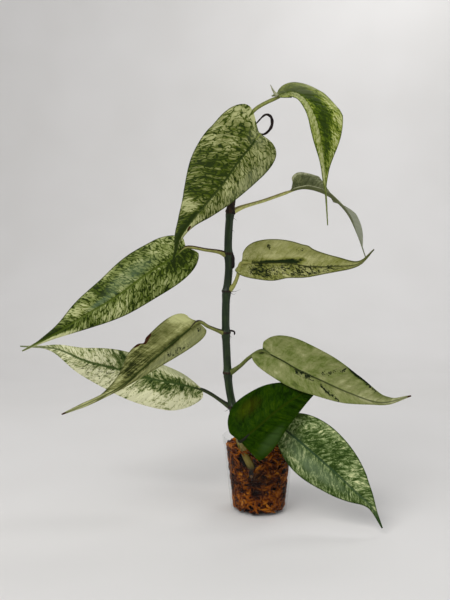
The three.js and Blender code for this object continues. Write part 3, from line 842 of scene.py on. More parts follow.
def grow_blade(name, form, finish, slot, marks):
    """The blade's mesh. Its points hold how far they lie along a side vein and across the blade
    in millimetres, the patches of colour, how far off the margin is, which face they are on, and
    how far off the nearest dark stroke is."""
    line = Line(form["midrib"])
    rows = np.linspace(0, 1, BLADE_ROWS) ** ROW_CROWDING
    even = np.linspace(-1, 1, 2 * BLADE_COLUMNS + 1)
    columns = np.sign(even) * np.abs(even) ** COLUMN_CROWDING
    u, v = np.meshgrid(rows, columns, indexing="ij")
    places = blade_places(form, line, u, v)
    normals = blade_normals(form, line, u, v)
    width = half_width(form, u, v)
    off = np.abs(v) * width
    vein = u * line.length - VEIN_SLANT * off * np.minimum(1, 4 * u + 0.15)
    vein_phase = 2 * np.pi * vein / (form["veins"] * MM)
    body = np.minimum(1, off / (2 * MM)) * np.minimum(1, (1 - np.abs(v)) * 5)
    quilt = VEIN_RELIEF * body * (1 - 2 * np.exp(-((np.cos(vein_phase) - 1) / 0.35) ** 2))
    thick = MARGIN_THICKNESS + (THICKNESS - MARGIN_THICKNESS) * (1 - np.abs(v) ** 3)
    channel = CHANNEL_DEPTH * np.exp(-(off / MIDRIB_HALF) ** 2) * np.minimum(1, width / (3 * MM))
    rib = MIDRIB_DEPTH * (1 - u) * np.exp(-(off / MIDRIB_HALF) ** 2)
    upper = places + normals * (thick / 2 + quilt - channel)[..., None]
    lower = places - normals * (thick / 2 - 0.7 * quilt + rib)[..., None]
    points = np.vstack([upper.reshape(-1, 3), lower.reshape(-1, 3)])
    rim = ((1 - np.abs(v)) * width / MM).ravel()
    gap = stroke_gaps(marks.get("strokes", ()), u, v, line.length, width).ravel()
    held = {"blade": np.stack([vein / MM, np.sign(v) * off / MM, u], -1).reshape(-1, 3)}
    for key, kinds in (("marks", ("green", "painted_sheen", "dry")), ("lines", ("calm", "scrawl", "warm"))):
        laid = [laid_patches(marks.get(kind, ()), u, v) for kind in kinds]
        held[key] = np.stack(laid, -1).reshape(-1, 3)
    held = {key: np.vstack([values, values]) for key, values in held.items()}
    held["skin"] = np.concatenate(
        [np.stack([rim, np.full(u.size, face), gap], -1) for face in (1, 0)])
    add_piece(name.replace("leaf", "blade"), points, blade_faces(len(columns)), finish, slot,
              [name], held)


def grow_petiole(name, form, finish, slot):
    """The petiole clasps the stem with a swollen foot, is grooved on top and runs on a little
    under the midrib."""
    line = Line(form["midrib"])
    ends = []
    for distance, depth in zip((0, PETIOLE_RUN_ON), RUN_ON_DEPTHS):
        share = np.array([distance / line.length])
        normal = blade_normals(form, line, np.maximum(0.02, share), np.zeros(1))
        ends.append((line.at(share) - normal * depth)[0] / MM)
    path = Line([*form["petiole"], *ends])

    def radius_at(share, angle):
        foot = 0.6 * math.exp(-((share / 0.2) ** 2))
        thinning = 3.2 * max(0, share - 0.8)
        groove = 0.16 * math.exp(-(((angle + math.pi) % (2 * math.pi) - math.pi) / 0.45) ** 2)
        return PETIOLE_RADIUS * (1 + foot - thinning) * (1 - groove * min(1, 5 * share))

    points, faces, held = tube(path, 90, 24, radius_at)
    stem_middle = stem_line.at(np.linspace(0, 1, 260))
    gap = np.linalg.norm(points[:, None] - stem_middle[None], axis=2).min(1)
    outward = points - path.at(held[:, 0])
    outward /= np.linalg.norm(outward, axis=1)[:, None]
    skin = np.stack([held[:, 0], outward @ (0, -0.6, 0.8), gap / MM], -1)
    add_piece(name.replace("leaf", "petiole"), points, faces, finish, slot, [name],
              {"petiole": skin})


BARK_TONE = (40, 34, 22)


def petiole_finish(name, tone, top):
    """A petiole's skin, with the darker line along its top, and bark where it meets the stem."""
    finish, start = new_finish(name)
    _, on_top, gap = start.read("petiole")
    grain = start.where()
    fine = grain.noise(500, 4)
    skin = tint(*tone)
    shade = tuple(0.7 * value for value in skin)
    colour = fine.between(0.35, 0.7).blend(skin, shade)
    colour = (on_top + 0.3 * fine).between(0.75, 0.95).blend(colour, tint(*top))
    colour = (gap - 1.5 * fine).between(2.8, 1.4).blend(colour, tint(*BARK_TONE))
    show(start, start.add("ShaderNodeBsdfPrincipled", None, {
        "Base Color": colour,
        "Roughness": 0.45 + 0.15 * fine,
        "Specular IOR Level": 0.15,
        "Normal": start.rough(0.25, 0.3, fine),
    }))
    return finish


SCRAWL_TONE = (18, 28, 10)
WARM_TONE = (120, 106, 20)
DRY_TONE = (62, 36, 20)
DULL_TONE = (118, 126, 78)
NET_CELL = (2.1, 5.2)  # millimetres along a side vein's way and across the blade
SCRAWL_CELL = (5, 4.5)
GRAIN_CELL = (16, 1.2)
RAGGED = 4.2  # how far flecks break a stroke's edge, in millimetres


def leaf_finish(name, tones, painted_sheen_tone, seed, depth=0.5, streak=(3.2, 9.0), contrast=2.2,
                fleck=0.9, net=0.4, veins=0.35, vein_gap=6.5, rib=None, rib_half=0.7, rim=0.7,
                grain=0.0, shown=1, turned_tone=DULL_TONE, gloss=0.55, shine=0.1, glow=0.08):
    """The blade's skin. Its tones run from the lightest to the deepest, and the marbling, which
    follows the side veins, picks between them. A net of veins, dark scrawls, the midrib, the rim,
    a painted grey reflection and dry spots lie over them: the reflection is painted light, the
    bright room mirrored in the waxy face, and on thin parts light that shines through. The face
    that is turned away is duller: shown is 1 where the viewer sees the upper face, and 0 where it
    is the lower one."""
    finish, start = new_finish(name)
    light, pale, green, deep = [tint(*tone) for tone in tones]
    vein, across, share = start.read("blade")
    green_mark, painted_sheen_mark, dry_mark = start.read("marks")
    calm, scrawled, warm = start.read("lines")
    margin, upper, gap = start.read("skin")
    side = across.between(-0.2, 0.2) * 40 + seed
    wander = start.place(vein * 0.13, across * 0.13, side).noise(1, 3) * 7
    along = (vein + wander) / streak[0]
    out = across / streak[1]
    marbling = start.place(along, out, side).noise(1, 5, 0.65, 0.4)
    patch = start.place(vein * 0.09, across * 0.12, side + 3).noise(1, 2)
    flecks = start.place(along * 2.4, out * 4.5, side + 9).noise(1, 4, 0.7, 0.5)
    net_place = start.place(
        (vein + wander) / NET_CELL[0] + marbling, across / NET_CELL[1] + patch, side)
    cell = start.add("ShaderNodeTexVoronoi", {"feature": "DISTANCE_TO_EDGE"}, {
        "Vector": net_place, "Scale": 1.0})
    net_line = cell.between(0.17, 0.03) * flecks.between(0.35, 0.6)
    vein_wave = ((vein + 0.35 * wander) * (math.pi / vein_gap)).math("SINE")
    vein_line = abs(vein_wave).between(0.22, 0.03) * patch.between(0.3, 0.6)
    fine_wave = ((vein + 0.6 * wander) * (math.pi / vein_gap * 3)).math("SINE")
    vein_line = vein_line + abs(fine_wave).between(0.35, 0.05) * flecks.between(0.4, 0.65) * 0.6
    twist_place = start.place(
        (vein + wander) / SCRAWL_CELL[0], across / SCRAWL_CELL[1], side + 20)
    twist = twist_place.noise(1, 4, 0.65, 0.6)
    scrawl = abs(twist - 0.5).between(0.065, 0.032) * (scrawled + flecks - 0.5).between(0.25, 0.45)
    lengthwise = start.place(vein / GRAIN_CELL[0], across / GRAIN_CELL[1], side).noise(1, 3)
    value = (marbling - 0.5) * contrast + (flecks - 0.5) * fleck + (lengthwise - 0.5) * grain
    value = value * (1 - calm) + (patch - 0.5) * 1.0 + green_mark + depth
    value = value + net_line * net + vein_line * veins
    colour = start.add("ShaderNodeValToRGB", {"stops": [
        (0.0, light), (0.3, pale), (0.62, green), (0.95, deep)]}, {"Fac": value})
    # Painted light: a grey reflection of the bright room, and light through thin parts, is painted
    # over the colour where the patches call for it.
    painted_sheen = (painted_sheen_mark * (0.2 + 0.8 * patch + 0.8 * flecks)).between(0.1, 1.1)
    colour = painted_sheen.blend(colour, tint(*painted_sheen_tone))
    stroke = (gap + RAGGED * (flecks - 0.5)).between(1.0, 0.5)
    colour = (scrawl + stroke).blend(colour, tint(*SCRAWL_TONE))
    rib_line = (abs(across) + 0.4 * flecks).between(rib_half + 0.45, rib_half + 0.1)
    colour = (rib_line * (1 - share * 0.4)).blend(colour, tint(*rib) if rib else green)
    edge_line = (margin + 0.5 * flecks).between(1.3, 0.7) * (green_mark + 1).between(0, 1)
    colour = (edge_line * rim).blend(colour, deep)
    colour = warm.between(0.1, 1.4).blend(colour, tint(*WARM_TONE))
    colour = (dry_mark + 0.4 * flecks).between(0.6, 0.75).blend(colour, tint(*DRY_TONE))
    colour = (abs(upper - shown) * 0.6).blend(colour, tint(*turned_tone))
    skin = start.add("ShaderNodeBsdfPrincipled", None, {
        "Base Color": colour,
        "Roughness": gloss + 0.12 * flecks + 0.1 * (1 - upper),
        "Specular IOR Level": shine,
        "Normal": start.rough(0.5, 0.5, 0.5 * cell + 0.3 * flecks - 0.8 * vein_line),
    })
    lit_through = start.add("ShaderNodeBsdfTranslucent", None, {"Color": green})
    show(start, start.add("ShaderNodeMixShader", None, {0: glow, 1: skin, 2: lit_through}))
    return finish


def grow_leaf(letter, slot, form, marks, petiole_tones, tones, painted_sheen_tone, seed, **look):
    """A leaf's blade and petiole, each with a skin of its own. marks are strokes, which are dark
    lines, and patches: green darkens above 0 and pales below it, sheen is a grey reflection
    painted into the colour, dry is dead, calm smooths the marbling, scrawl is dark and scribbled,
    and warm is yellower."""
    name = "leaf_" + letter
    form = USUAL_FORM | form
    skin = leaf_finish("blade_%s_skin" % letter, tones, painted_sheen_tone, seed, **look)
    grow_blade(name, form, skin, slot, marks)
    grow_petiole(name, form, petiole_finish("petiole_%s_skin" % letter, *petiole_tones), slot)


form = {
    "petiole": [[-19, 0, 263], [-12, -3, 277], [-5, -8, 290]],
    "midrib": [
        [0, -14, 295], [-8, -22, 282], [-16, -28, 271], [-29, -36, 251], [-42, -43, 234],
        [-52, -48, 221], [-59, -51, 210], [-64, -54, 193]],
    "fold": [[-5], [0]], "width": [22, 35], "lobe": [1, 22], "peak": [0.14, 0.13],
    "taper": [1.45, 1.2], "tail": 0.06, "drip": 1.5, "veins": 6.5,
    "swells": [[1, 0.42, 0.2, 4.5], [0, 0.75, 0.1, -1]],
}
marks = {
    "green": [
        (0.04, -0.75, 0.14, 0.35, -0.15), (0.0, -0.4, 0.05, 0.4, -0.4),
        (0.35, 0.65, 0.45, 0.6, -0.12), (0.09, -0.3, 0.07, 0.25, 0.4),
        (0.35, -0.06, 0.35, 0.16, 0.2), (0.4, -0.45, 0.1, 0.4, 0.4), (0.55, -0.3, 0.1, 0.3, 0.1),
        (0.3, -0.5, 0.3, 0.5, 0.04), (0.57, -0.6, 0.05, 0.5, 0.4),
        (0.66, -0.65, 0.045, 0.45, -0.5), (0.8, -0.25, 0.06, 0.5, 0.6),
        (0.89, -0.3, 0.11, 0.7, 0.6), (0.72, -0.12, 0.08, 0.12, 0.7),
        (0.98, 0.3, 0.07, 0.8, 0.7), (0.8, 0.6, 0.11, 0.45, -0.6), (0.22, -0.7, 0.06, 0.4, -0.1)],
    "painted_sheen": [(0.3, 0.8, 0.25, 0.35, 0.5), (0.05, 0.1, 0.08, 0.4, 0.5)],
    "calm": [
        (0.35, 0.6, 0.5, 0.5, 0.65), (0.03, -0.7, 0.12, 0.4, 0.3), (0.88, -0.3, 0.13, 0.6, 0.8)],
    "dry": [(0.775, 0.6, 0.02, 0.3, 1)],
}
grow_leaf(
    "a", "marbled_leaf", form, marks, petiole_tones=[(140, 146, 78), (96, 106, 52)],
    tones=[(164, 167, 116), (122, 126, 76), (70, 84, 14), (36, 48, 0)], painted_sheen_tone=(120, 126, 92),
    seed=1, depth=0.28, streak=(3.2, 17), net=0.8, veins=0.6, contrast=2.5, fleck=0.5,
    rib=(40, 54, 6))


# Leaf B: the youngest leaf, arched over at the upper right on a long petiole. It is seen from the
# side with its upper face turned up, and its thread-like tip hangs straight down. One back lobe
# has curled up into a small spike at the petiole.
BACK_LOBE = [[15, 2, 330], [12.2, 2, 333.5], [9.3, 1, 338.7]]  # curled up at the petiole
BACK_LOBE_RADIUS = 1.3 * MM
NO_BARK = 9.0  # a gap to the stem, in millimetres, at which a petiole has no bark
form = USUAL_FORM | {
    "petiole": [[-17, 0, 280], [-13, 1, 301], [-4, 2, 318]],
    "midrib": [
        [17, 4, 331], [28, 3, 333], [36.5, 1, 327], [43.5, -2, 314], [48, -4, 298],
        [50.5, -5, 281], [52, -6, 257], [54, -6, 225]],
    "lean": [-58, -42, -40, -40], "fold": [[0, 30, 5, 5], [10, 28, 30, 30]], "curl": [-12, -20],
    "width": [28.5, 21], "lobe": [6, 1], "peak": [0.24, 0.3], "taper": [1.6, 1], "tail": 0.22,
    "drip": 1.1, "veins": 6,
}
marks = {
    "green": [
        (0.36, 0.3, 0.27, 0.3, 0.5), (0.12, 0.3, 0.1, 0.3, 0.2), (0.35, -0.5, 0.5, 0.5, -0.4),
        (0.45, 0.8, 0.35, 0.4, -0.15), (0.94, 0, 0.2, 1, -0.7), (0.68, -0.1, 0.09, 0.7, -0.28),
        (0.25, 0.95, 0.25, 0.35, -0.12), (0.06, 0.1, 0.1, 0.16, 0.5)],
    "painted_sheen": [(0.03, 0.6, 0.17, 0.8, 0.8), (0.08, -0.6, 0.2, 0.5, 0.55)],
    "calm": [(0.36, 0.25, 0.2, 0.25, 0.6), (0.3, -0.6, 0.5, 0.6, 0.6), (0.06, 0.5, 0.14, 0.8, 0.4)],
}
skin = leaf_finish(
    "blade_b_skin", tones=[(184, 188, 128), (144, 154, 66), (82, 102, 8), (44, 60, 0)],
    painted_sheen_tone=(84, 90, 52), seed=2, depth=0.39, net=0.45, veins=0.6, vein_gap=5, contrast=2.0,
    grain=1.8, streak=(2.4, 12))
grow_blade("leaf_b", form, skin, "marbled_leaf", marks)
points, faces, held = tube(
    Line(BACK_LOBE), 24, 12, lambda share, angle: BACK_LOBE_RADIUS * (1.15 - share))
held[:, 2] = NO_BARK
skin = petiole_finish("back_lobe_skin", (150, 152, 120), (128, 130, 100))
add_piece("back_lobe_b", points, faces, skin, "marbled_leaf", held={"petiole": held})
skin = petiole_finish("petiole_b_skin", (138, 144, 78), (108, 112, 62))
grow_petiole("leaf_b", form, skin, "marbled_leaf")


# Leaf C: a young leaf behind the others on a long thin petiole. It is narrow, twisted half round
# on its way to the tip, and a soft grey-green.
form = {
    "petiole": [[-22, 0, 236], [-14, 6, 241], [6, 18, 249]],
    "midrib": [
        [29, 32, 260], [43, 42, 264], [60, 52, 262], [74, 58, 255], [85, 62, 244], [94, 65, 227],
        [102, 66, 205]],
    "lean": [-90, -85, -80], "fold": [[60, 62, 55, 8, 45, 52, 55], [5]], "width": [22, 14],
    "lobe": [-11, 2], "peak": [0.3, 0.3], "taper": [0.85, 1], "tail": 0.1, "drip": 0.9, "wave": 0.5,
    "veins": 6, "swells": [[0, 0.46, 0.05, -6]],
}
# Its far half is painted pale and grey, for the light that shines through it from behind; the
# patches there are painted light.
marks = {
    "green": [
        (0.15, 0.4, 0.25, 0.6, 0.05), (0.8, 0, 0.35, 1, -0.8), (0.1, 0.95, 0.3, 0.2, -0.4),
        (0.1, -0.9, 0.4, 0.2, -0.5)],
    "painted_sheen": [(0.8, 0, 0.35, 2, 1)],
}
grow_leaf(
    "c", "marbled_leaf", form, marks, petiole_tones=[(192, 192, 118), (136, 128, 72)],
    tones=[(176, 178, 140), (122, 127, 86), (92, 98, 60), (56, 64, 32)], painted_sheen_tone=(160, 164, 142),
    seed=3, net=0.15, veins=0.35, rim=0.1, contrast=1.4, glow=0.25)


# Leaf D: a long leaf to the left, seen from above, its lobes by the petiole rounded and its tip
# drawn out. It is mottled pale and mid green, and before the tip it is solid green with a cream
# edge.
form = {
    "petiole": [[-25, 0, 201], [-30, -1, 204], [-42, -2, 206]],
    "midrib": [
        [-58, -3, 208], [-69, -6, 199], [-90, -10, 185], [-112, -14, 168], [-135, -17, 154],
        [-157, -19, 140], [-182, -20, 127]],
    "width": [20, 21.5], "lobe": [5, 3], "peak": [0.2, 0.28], "taper": [1.1, 1.15], "tail": 0.08,
    "drip": 1.8, "veins": 7,
    "swells": [[1, 0.05, 0.09, 3], [1, 0.75, 0.1, -1.2], [0, 0.8, 0.12, -1.2]],
}
marks = {
    "green": [
        (0.5, -0.65, 0.035, 0.5, 0.5), (0.63, -0.55, 0.06, 0.4, -0.2),
        (0.4, 0.5, 0.4, 0.6, 0.14), (0.05, 0.2, 0.07, 0.45, 0.4), (0.02, 0.9, 0.1, 0.4, 0.12),
        (0.84, -0.25, 0.1, 0.7, 0.7), (0.76, 0.25, 0.07, 0.4, 0.4), (0.9, 1, 0.16, 0.7, -2.4),
        (0.98, -0.8, 0.05, 0.5, -0.9), (0.13, 0.2, 0.12, 0.3, 0.2), (0.5, 0.55, 0.1, 0.35, -0.2),
        (0.06, -0.8, 0.07, 0.35, -0.2), (0.3, -0.8, 0.2, 0.2, 0.1)],
    "painted_sheen": [(0.33, -0.35, 0.2, 0.35, 0.55), (0.55, -0.15, 0.1, 0.15, 0.5)],
    "calm": [(0.3, -0.45, 0.25, 0.4, 0.4)], "warm": [(0.63, -0.4, 0.08, 0.5, 0.35)],
}
grow_leaf(
    "d", "marbled_leaf", form, marks, petiole_tones=[(140, 140, 78), (52, 36, 26)],
    tones=[(188, 192, 138), (134, 144, 84), (74, 90, 24), (36, 48, 2)], painted_sheen_tone=(92, 112, 84),
    seed=4, depth=0.29, streak=(3.2, 16), net=0.75, veins=0.65, vein_gap=7, contrast=1.6, fleck=0.5)


# Leaf E: a pale leaf to the right that has turned over, so its underside shows. It is olive, with
# a dark green flash above the midrib and dark flecks all over the half below it.
form = {
    "petiole": [[-25, 0, 172], [-20, -2, 178], [-17, -4, 185]],
    "midrib": [
        [-14, -6, 195], [2, -9, 195], [20, -11, 195], [39, -13, 192], [58, -15, 192],
        [76, -16, 194], [88, -16, 205]],
    "lean": [180], "width": [13, 18.5], "lobe": [5, -1], "peak": [0.2, 0.22], "taper": [1.35, 1.25],
    "tail": 0.1, "drip": 1.3, "veins": 6,
    "swells": [[0, 0.22, 0.08, 1.5], [0, 0.55, 0.12, -1.2], [1, 0.43, 0.04, 1]],
}
marks = {
    "green": [
        (0.3, -0.55, 0.5, 0.5, -0.12), (0.08, -0.14, 0.12, 0.14, 0.25),
        (0.27, -0.05, 0.13, 0.08, 0.75), (0.37, -0.16, 0.07, 0.11, 0.7),
        (0.43, -0.3, 0.04, 0.09, 0.6), (0.14, 0.4, 0.05, 0.5, 0.45), (0.3, 0.2, 0.2, 0.25, 0.1)],
    "calm": [
        (0.3, -0.1, 0.22, 0.3, 0.75), (0.3, -0.75, 0.6, 0.4, 0.75), (0.75, 0.3, 0.25, 0.8, 0.5)],
    "scrawl": [
        (0.3, 0.5, 0.22, 0.7, 0.36), (0.13, 0.4, 0.07, 0.5, 0.45), (0.56, 0.4, 0.22, 0.5, 0.5),
        (0.75, -0.1, 0.2, 0.2, 0.3)],
    "strokes": [[(0.183, -0.76), (0.197, -0.58)], [(0.375, -0.66), (0.395, -0.8)]],
    "warm": [(0.35, -0.7, 0.5, 0.4, 0.15)],
}
grow_leaf(
    "e", "pale_leaf", form, marks, petiole_tones=[(150, 150, 84), (126, 128, 70)],
    tones=[(178, 177, 122), (146, 147, 93), (118, 122, 58), (24, 36, 6)], painted_sheen_tone=(140, 140, 92),
    seed=5, depth=0.38, net=0.1, veins=0.15, rim=0.6, contrast=1.6, fleck=1.3, shown=0,
    turned_tone=(84, 100, 34), rib=(40, 46, 18), rib_half=0.4, streak=(2.6, 6.0))


# Leaf F: a narrow leaf at the left, turned over, in front of the cream leaf. It is olive with
# dark streaks and a bright lobe, and a bite of its upper margin has dried brown.
form = {
    "petiole": [[-26, 0, 139], [-33, -3, 142], [-40, -6, 145]],
    "midrib": [
        [-48, -10, 149], [-59, -15, 140], [-73, -22, 128], [-87, -29, 116], [-103, -36, 103],
        [-118, -41, 95], [-144, -47, 84]],
    "lean": [180], "fold": [[0], [10]], "width": [17.5, 12.5], "lobe": [-4, 1], "peak": [0.22, 0.1],
    "taper": [0.95, 1.6], "tail": 0.26, "drip": 1.7, "veins": 6,
    "swells": [[0, 0.42, 0.09, 3.5], [0, 0.325, 0.02, -2.2]],
}
marks = {
    "green": [
        (0.03, 0.75, 0.08, 0.5, -0.7), (0.24, 0.02, 0.17, 0.16, 0.5),
        (0.5, -0.03, 0.2, 0.06, 0.3), (0.5, 0.2, 0.14, 0.8, 0.28), (0.44, 0.5, 0.06, 0.4, 0.2),
        (0.75, 0, 0.12, 1, -0.18), (0.9, 0, 0.15, 1, -0.5)],
    "painted_sheen": [(0.2, -0.6, 0.4, 0.5, 0.55)], "calm": [(0.1, 0, 0.28, 2, 0.75)],
    "scrawl": [(0.5, 0.3, 0.14, 0.6, 0.3), (0.2, -0.7, 0.1, 0.2, 0.4)],
    "strokes": [
        [(0.02, -0.42), (0.035, -0.52)], [(0.2, -0.55), (0.215, -0.6)],
        [(0.26, -0.5), (0.27, -0.6)]],
    "dry": [(0.3, 1, 0.045, 0.15, 1.2), (0.37, 1, 0.025, 0.1, 1.1), (1, 0, 0.03, 2, 1)],
}
grow_leaf(
    "f", "pale_leaf", form, marks, petiole_tones=[(120, 124, 66), (44, 40, 24)],
    tones=[(184, 186, 128), (136, 138, 86), (98, 102, 54), (40, 46, 16)], painted_sheen_tone=(126, 130, 98),
    seed=6, depth=0.4, net=0.12, veins=0.45, vein_gap=5, rim=0.4, contrast=1.4, grain=2.4, shown=0,
    turned_tone=(80, 96, 34), rib=(46, 58, 18), rib_half=0.45, streak=(2.6, 12))


# Leaf G: the creamiest leaf, low on the left and partly behind leaf F. It is cream with
# blue-green marbling that spreads from the midrib.
form = {
    "petiole": [[-22, 0, 80], [-30, 2, 85], [-38, 4, 90]],
    "midrib": [
        [-45, 6, 93], [-64, 11, 97], [-89, 16, 101], [-116, 20, 108], [-144, 22, 115],
        [-170, 24, 125], [-200, 25, 127]],
    "width": [24, 16], "lobe": [1, -2], "peak": [0.3, 0.45], "taper": [1.2, 1.05], "tail": 0.12,
    "drip": 1.2, "veins": 7, "swells": [[0, 0.13, 0.1, 2], [1, 0.72, 0.12, -2]],
}
# The green patch at 0.44 along and -0.62 across paints the shadow that leaf F casts on this leaf.
marks = {
    "green": [
        (0.22, 0, 0.25, 0.38, 0.35), (0.3, 0.8, 0.4, 0.35, -0.4), (0.65, 0, 0.25, 1, -0.16),
        (0.15, -0.8, 0.2, 0.3, -0.25), (0.6, 0, 0.3, 0.1, 0.4), (0.44, -0.62, 0.07, 0.4, 0.45)],
    "scrawl": [(0.55, 0.3, 0.3, 0.8, 0.3)], "painted_sheen": [(0.15, -0.85, 0.2, 0.3, 0.8)],
    "calm": [(0.15, -0.85, 0.2, 0.3, 0.8), (0.8, 0, 0.2, 1, 0.5)],
}
grow_leaf(
    "g", "marbled_leaf", form, marks, petiole_tones=[(56, 66, 36), (34, 40, 22)],
    tones=[(224, 224, 182), (170, 174, 124), (88, 104, 50), (40, 58, 22)],
    painted_sheen_tone=(158, 162, 122), seed=7, depth=0.22, net=0.4, veins=0.8, vein_gap=7, rim=0.1,
    contrast=2.3, rib=(60, 80, 36))


# Leaf H: a wide pale leaf at the lower right, turned over. It is dull green, with a thin dark
# midrib, a few dark scribbles and a dead brown tip.
form = {
    "petiole": [[-24, 0, 107], [-15, -5, 114], [-8, -10, 121]],
    "midrib": [
        [2, -17, 127], [15, -25, 121], [28, -34, 114], [42, -41, 108], [63, -46, 99],
        [84, -49, 93], [105, -51, 98]],
    "lean": [180], "width": [14.5, 21], "lobe": [6, 2], "peak": [0.2, 0.3], "taper": [1.1, 0.95],
    "tail": 0.1, "drip": 2, "veins": 7, "swells": [[0, 0.78, 0.14, -2.5]],
}
marks = {
    "green": [
        (0.3, -0.5, 0.2, 0.5, 0.02), (0.75, 0.2, 0.2, 0.8, -0.25),
        (0.07, -0.5, 0.015, 0.08, 0.3), (0.95, 0, 0.08, 1, -0.4), (0.0, 0.0, 0.02, 0.3, 1),
        (0.6, -1, 0.08, 0.09, 1.1)],
    "calm": [(0.5, 0, 0.7, 2, 0.45), (0.6, -1, 0.1, 0.15, 0.3)],
    "scrawl": [(0.33, 0.12, 0.08, 0.16, 1), (0.5, 0.5, 0.06, 0.4, 0.3)],
    "strokes": [
        [(0.43, -0.25), (0.46, -0.43)], [(0.475, -0.52), (0.523, -0.86)],
        [(0.67, -0.94), (0.74, -0.95)], [(0.437, 0.24), (0.47, 0.48), (0.503, 0.68)],
        [(0.527, 0.73), (0.543, 0.86)]],
    "dry": [(1, 0, 0.025, 2, 1.2)],
}
grow_leaf(
    "h", "pale_leaf", form, marks, petiole_tones=[(96, 104, 54), (66, 76, 36)],
    tones=[(176, 178, 132), (134, 138, 90), (98, 110, 54), (22, 32, 8)], painted_sheen_tone=(140, 142, 98),
    seed=8, depth=0.44, net=0.08, veins=0.1, rim=0.15, contrast=1.0, fleck=0.7, shown=0,
    turned_tone=(70, 90, 30), rib=(32, 42, 16), rib_half=0.45, streak=(4, 8.0))


# Leaf I: the one all-green leaf, oldest but one, bent forward over the moss with its tip behind
# leaf H. It is dark and waxy, with a few yellow flecks.
form = {
    "petiole": [[-19, -3, 72], [-18, -18, 74], [-17, -33, 70]],
    "midrib": [[-16, -48, 65], [-5, -48, 74], [12, -46, 88], [35, -34, 100], [61, -20, 112]],
    "lean": [-30, -35, -35], "fold": [[0], [-25]], "width": [28, 20.5], "lobe": [3, -1],
    "peak": [0.2, 0.04], "taper": [1.5, 1.3], "tail": 0.06, "drip": 1.4, "veins": 7,
}
# The patch in a strip near its margin below the midrib is a painted grey-green reflection, not a
# colour of the leaf.
marks = {
    "green": [(0.4, 0.3, 0.6, 1, 0.15)], "painted_sheen": [(0.16, -0.74, 0.15, 0.26, 0.9)],
    "warm": [(0.2, 0.6, 0.15, 0.3, 0.35), (0.1, -0.3, 0.1, 0.3, 0.15)],
}
grow_leaf(
    "i", "green_leaf", form, marks, petiole_tones=[(24, 28, 8), (20, 24, 6)],
    tones=[(88, 96, 18), (46, 66, 2), (32, 54, 0), (20, 36, 0)], painted_sheen_tone=(54, 74, 36), seed=9,
    net=0.1, veins=0.1, vein_gap=8, rim=0.1, contrast=1.2, fleck=0.9, rib=(40, 54, 6), gloss=0.5,
    shine=0.02, glow=0.04)


# Leaf J: the oldest leaf, hanging forward and down at the lower right. It is green with cream
# dashes along its side veins, and a grey reflection is painted on the half below the midrib.
form = {
    "petiole": [[-18, -4, 68], [-8, -14, 74], [6, -25, 77]],
    "midrib": [
        [16, -32, 71], [28, -37, 62], [40, -40, 52], [53, -43, 41], [66, -47, 29], [77, -50, 19],
        [84, -53, 5]],
    "width": [23.5, 20], "lobe": [6, 4], "peak": [0.3, 0.3], "taper": [1.1, 1.3], "tail": 0.08,
    "drip": 1.8, "veins": 6.5, "swells": [[1, 0.78, 0.14, -2.2], [0, 0.82, 0.1, -2.2]],
}
marks = {
    "green": [
        (0.35, 0.3, 0.17, 0.3, 0.15), (0.1, 0.75, 0.12, 0.35, -0.1),
        (0.65, 0.65, 0.16, 0.4, -0.15), (0.97, 0, 0.06, 1, 0.4), (0.05, 0.2, 0.06, 0.8, 0.1)],
    "painted_sheen": [(0.35, -0.4, 0.35, 0.4, 0.62), (0.1, 0.05, 0.1, 0.2, 0.3)],
}
grow_leaf(
    "j", "marbled_leaf", form, marks, petiole_tones=[(50, 62, 28), (40, 50, 22)],
    tones=[(208, 210, 156), (140, 155, 104), (72, 92, 42), (38, 58, 16)], painted_sheen_tone=(108, 126, 94),
    seed=10, depth=0.53, streak=(1.7, 4.8), net=0.2, veins=0.2, contrast=2.45, rib=(48, 70, 44))


# The room: a pale floor that sweeps up into a wall behind, a broad soft light from the upper left
# and front, a fill from the right, and a level camera at the plant's mid height.
CAMERA_PLACE = (-27 * MM, -450 * MM, 166 * MM)
CAMERA_LENS = 33.75
LONG_SIDE = 36
SWEEP_FRONT = -3.0
SWEEP_BEND = 0.8
SWEEP_RADIUS = 0.9
SWEEP_HEIGHT = 3.0
SWEEP_HALF_WIDTH = 3.5
SWEEP_STEPS = 24
LIGHT_AIM = (0, 0, 0.18)
AIR_TONE = (0.86, 0.86, 0.88)
AIR_GLOW = 0.46
wall_finish, start = new_finish("studio_wall")
wall_grain = start.where().noise(3, 2)
show(start, start.add("ShaderNodeBsdfPrincipled", None, {
    "Base Color": wall_grain.between(0.2, 0.8).blend((0.66, 0.65, 0.635), (0.7, 0.69, 0.68)),
    "Roughness": 0.9,
}))
sweep = [(SWEEP_FRONT, 0.0)]
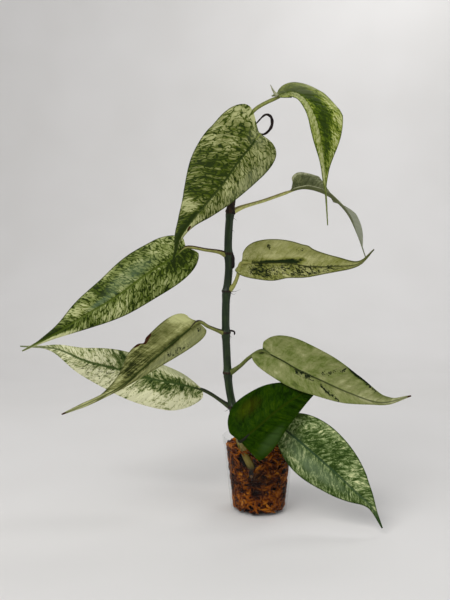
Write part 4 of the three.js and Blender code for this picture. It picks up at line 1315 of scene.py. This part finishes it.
for k in range(SWEEP_STEPS + 1):
    angle = math.pi / 2 * k / SWEEP_STEPS
    back, up = math.sin(angle), 1 - math.cos(angle)
    sweep.append((SWEEP_BEND + SWEEP_RADIUS * back, SWEEP_RADIUS * up))
sweep.append((SWEEP_BEND + SWEEP_RADIUS, SWEEP_HEIGHT))
sweep_points = [(x, y, z) for y, z in sweep for x in (-SWEEP_HALF_WIDTH, SWEEP_HALF_WIDTH)]
sweep_faces = [(2 * k, 2 * k + 1, 2 * k + 3, 2 * k + 2) for k in range(len(sweep) - 1)]
sweep_mesh = bpy.data.meshes.new("studio_sweep")
sweep_mesh.from_pydata(sweep_points, [], sweep_faces)
sweep_mesh.shade_smooth()
sweep_mesh.materials.append(wall_finish)
studio = bpy.data.objects.new("studio_sweep", sweep_mesh)
bpy.context.scene.collection.objects.link(studio)


def add_light(name, place, aim, size, power, colour):
    """A square soft light that looks at a place."""
    light = bpy.data.lights.new(name, "AREA")
    light.size = size
    light.energy = power
    light.color = colour
    lamp = bpy.data.objects.new(name, light)
    lamp.location = place
    lamp.rotation_mode = "QUATERNION"
    lamp.rotation_quaternion = (Vector(aim) - Vector(place)).to_track_quat("-Z", "Y")
    bpy.context.scene.collection.objects.link(lamp)


add_light("key_light", (-0.9, -1.2, 1.5), LIGHT_AIM, 1.2, 28, (1.0, 0.99, 0.97))
add_light("fill_light", (1.4, -0.8, 0.9), LIGHT_AIM, 1.2, 9, (0.95, 0.97, 1.0))
add_light("wall_light", (0.7, 0.9, 1.7), (0.2, 1.7, 0.3), 0.8, 7, (1.0, 1.0, 1.0))
world = bpy.data.worlds.new("studio_air")
bpy.context.scene.world = world
world.use_nodes = True
air = world.node_tree.nodes["Background"].inputs
air["Color"].default_value = (*AIR_TONE, 1)
air["Strength"].default_value = AIR_GLOW
bpy.context.scene.view_settings.view_transform = "Standard"

lens = bpy.data.cameras.new("photo_camera")
lens.lens = CAMERA_LENS
lens.sensor_width = LONG_SIDE
camera = bpy.data.objects.new("photo_camera", lens)
camera.location = CAMERA_PLACE
camera.rotation_euler = (math.pi / 2, 0, 0)
bpy.context.scene.collection.objects.link(camera)
bpy.context.scene.camera = camera
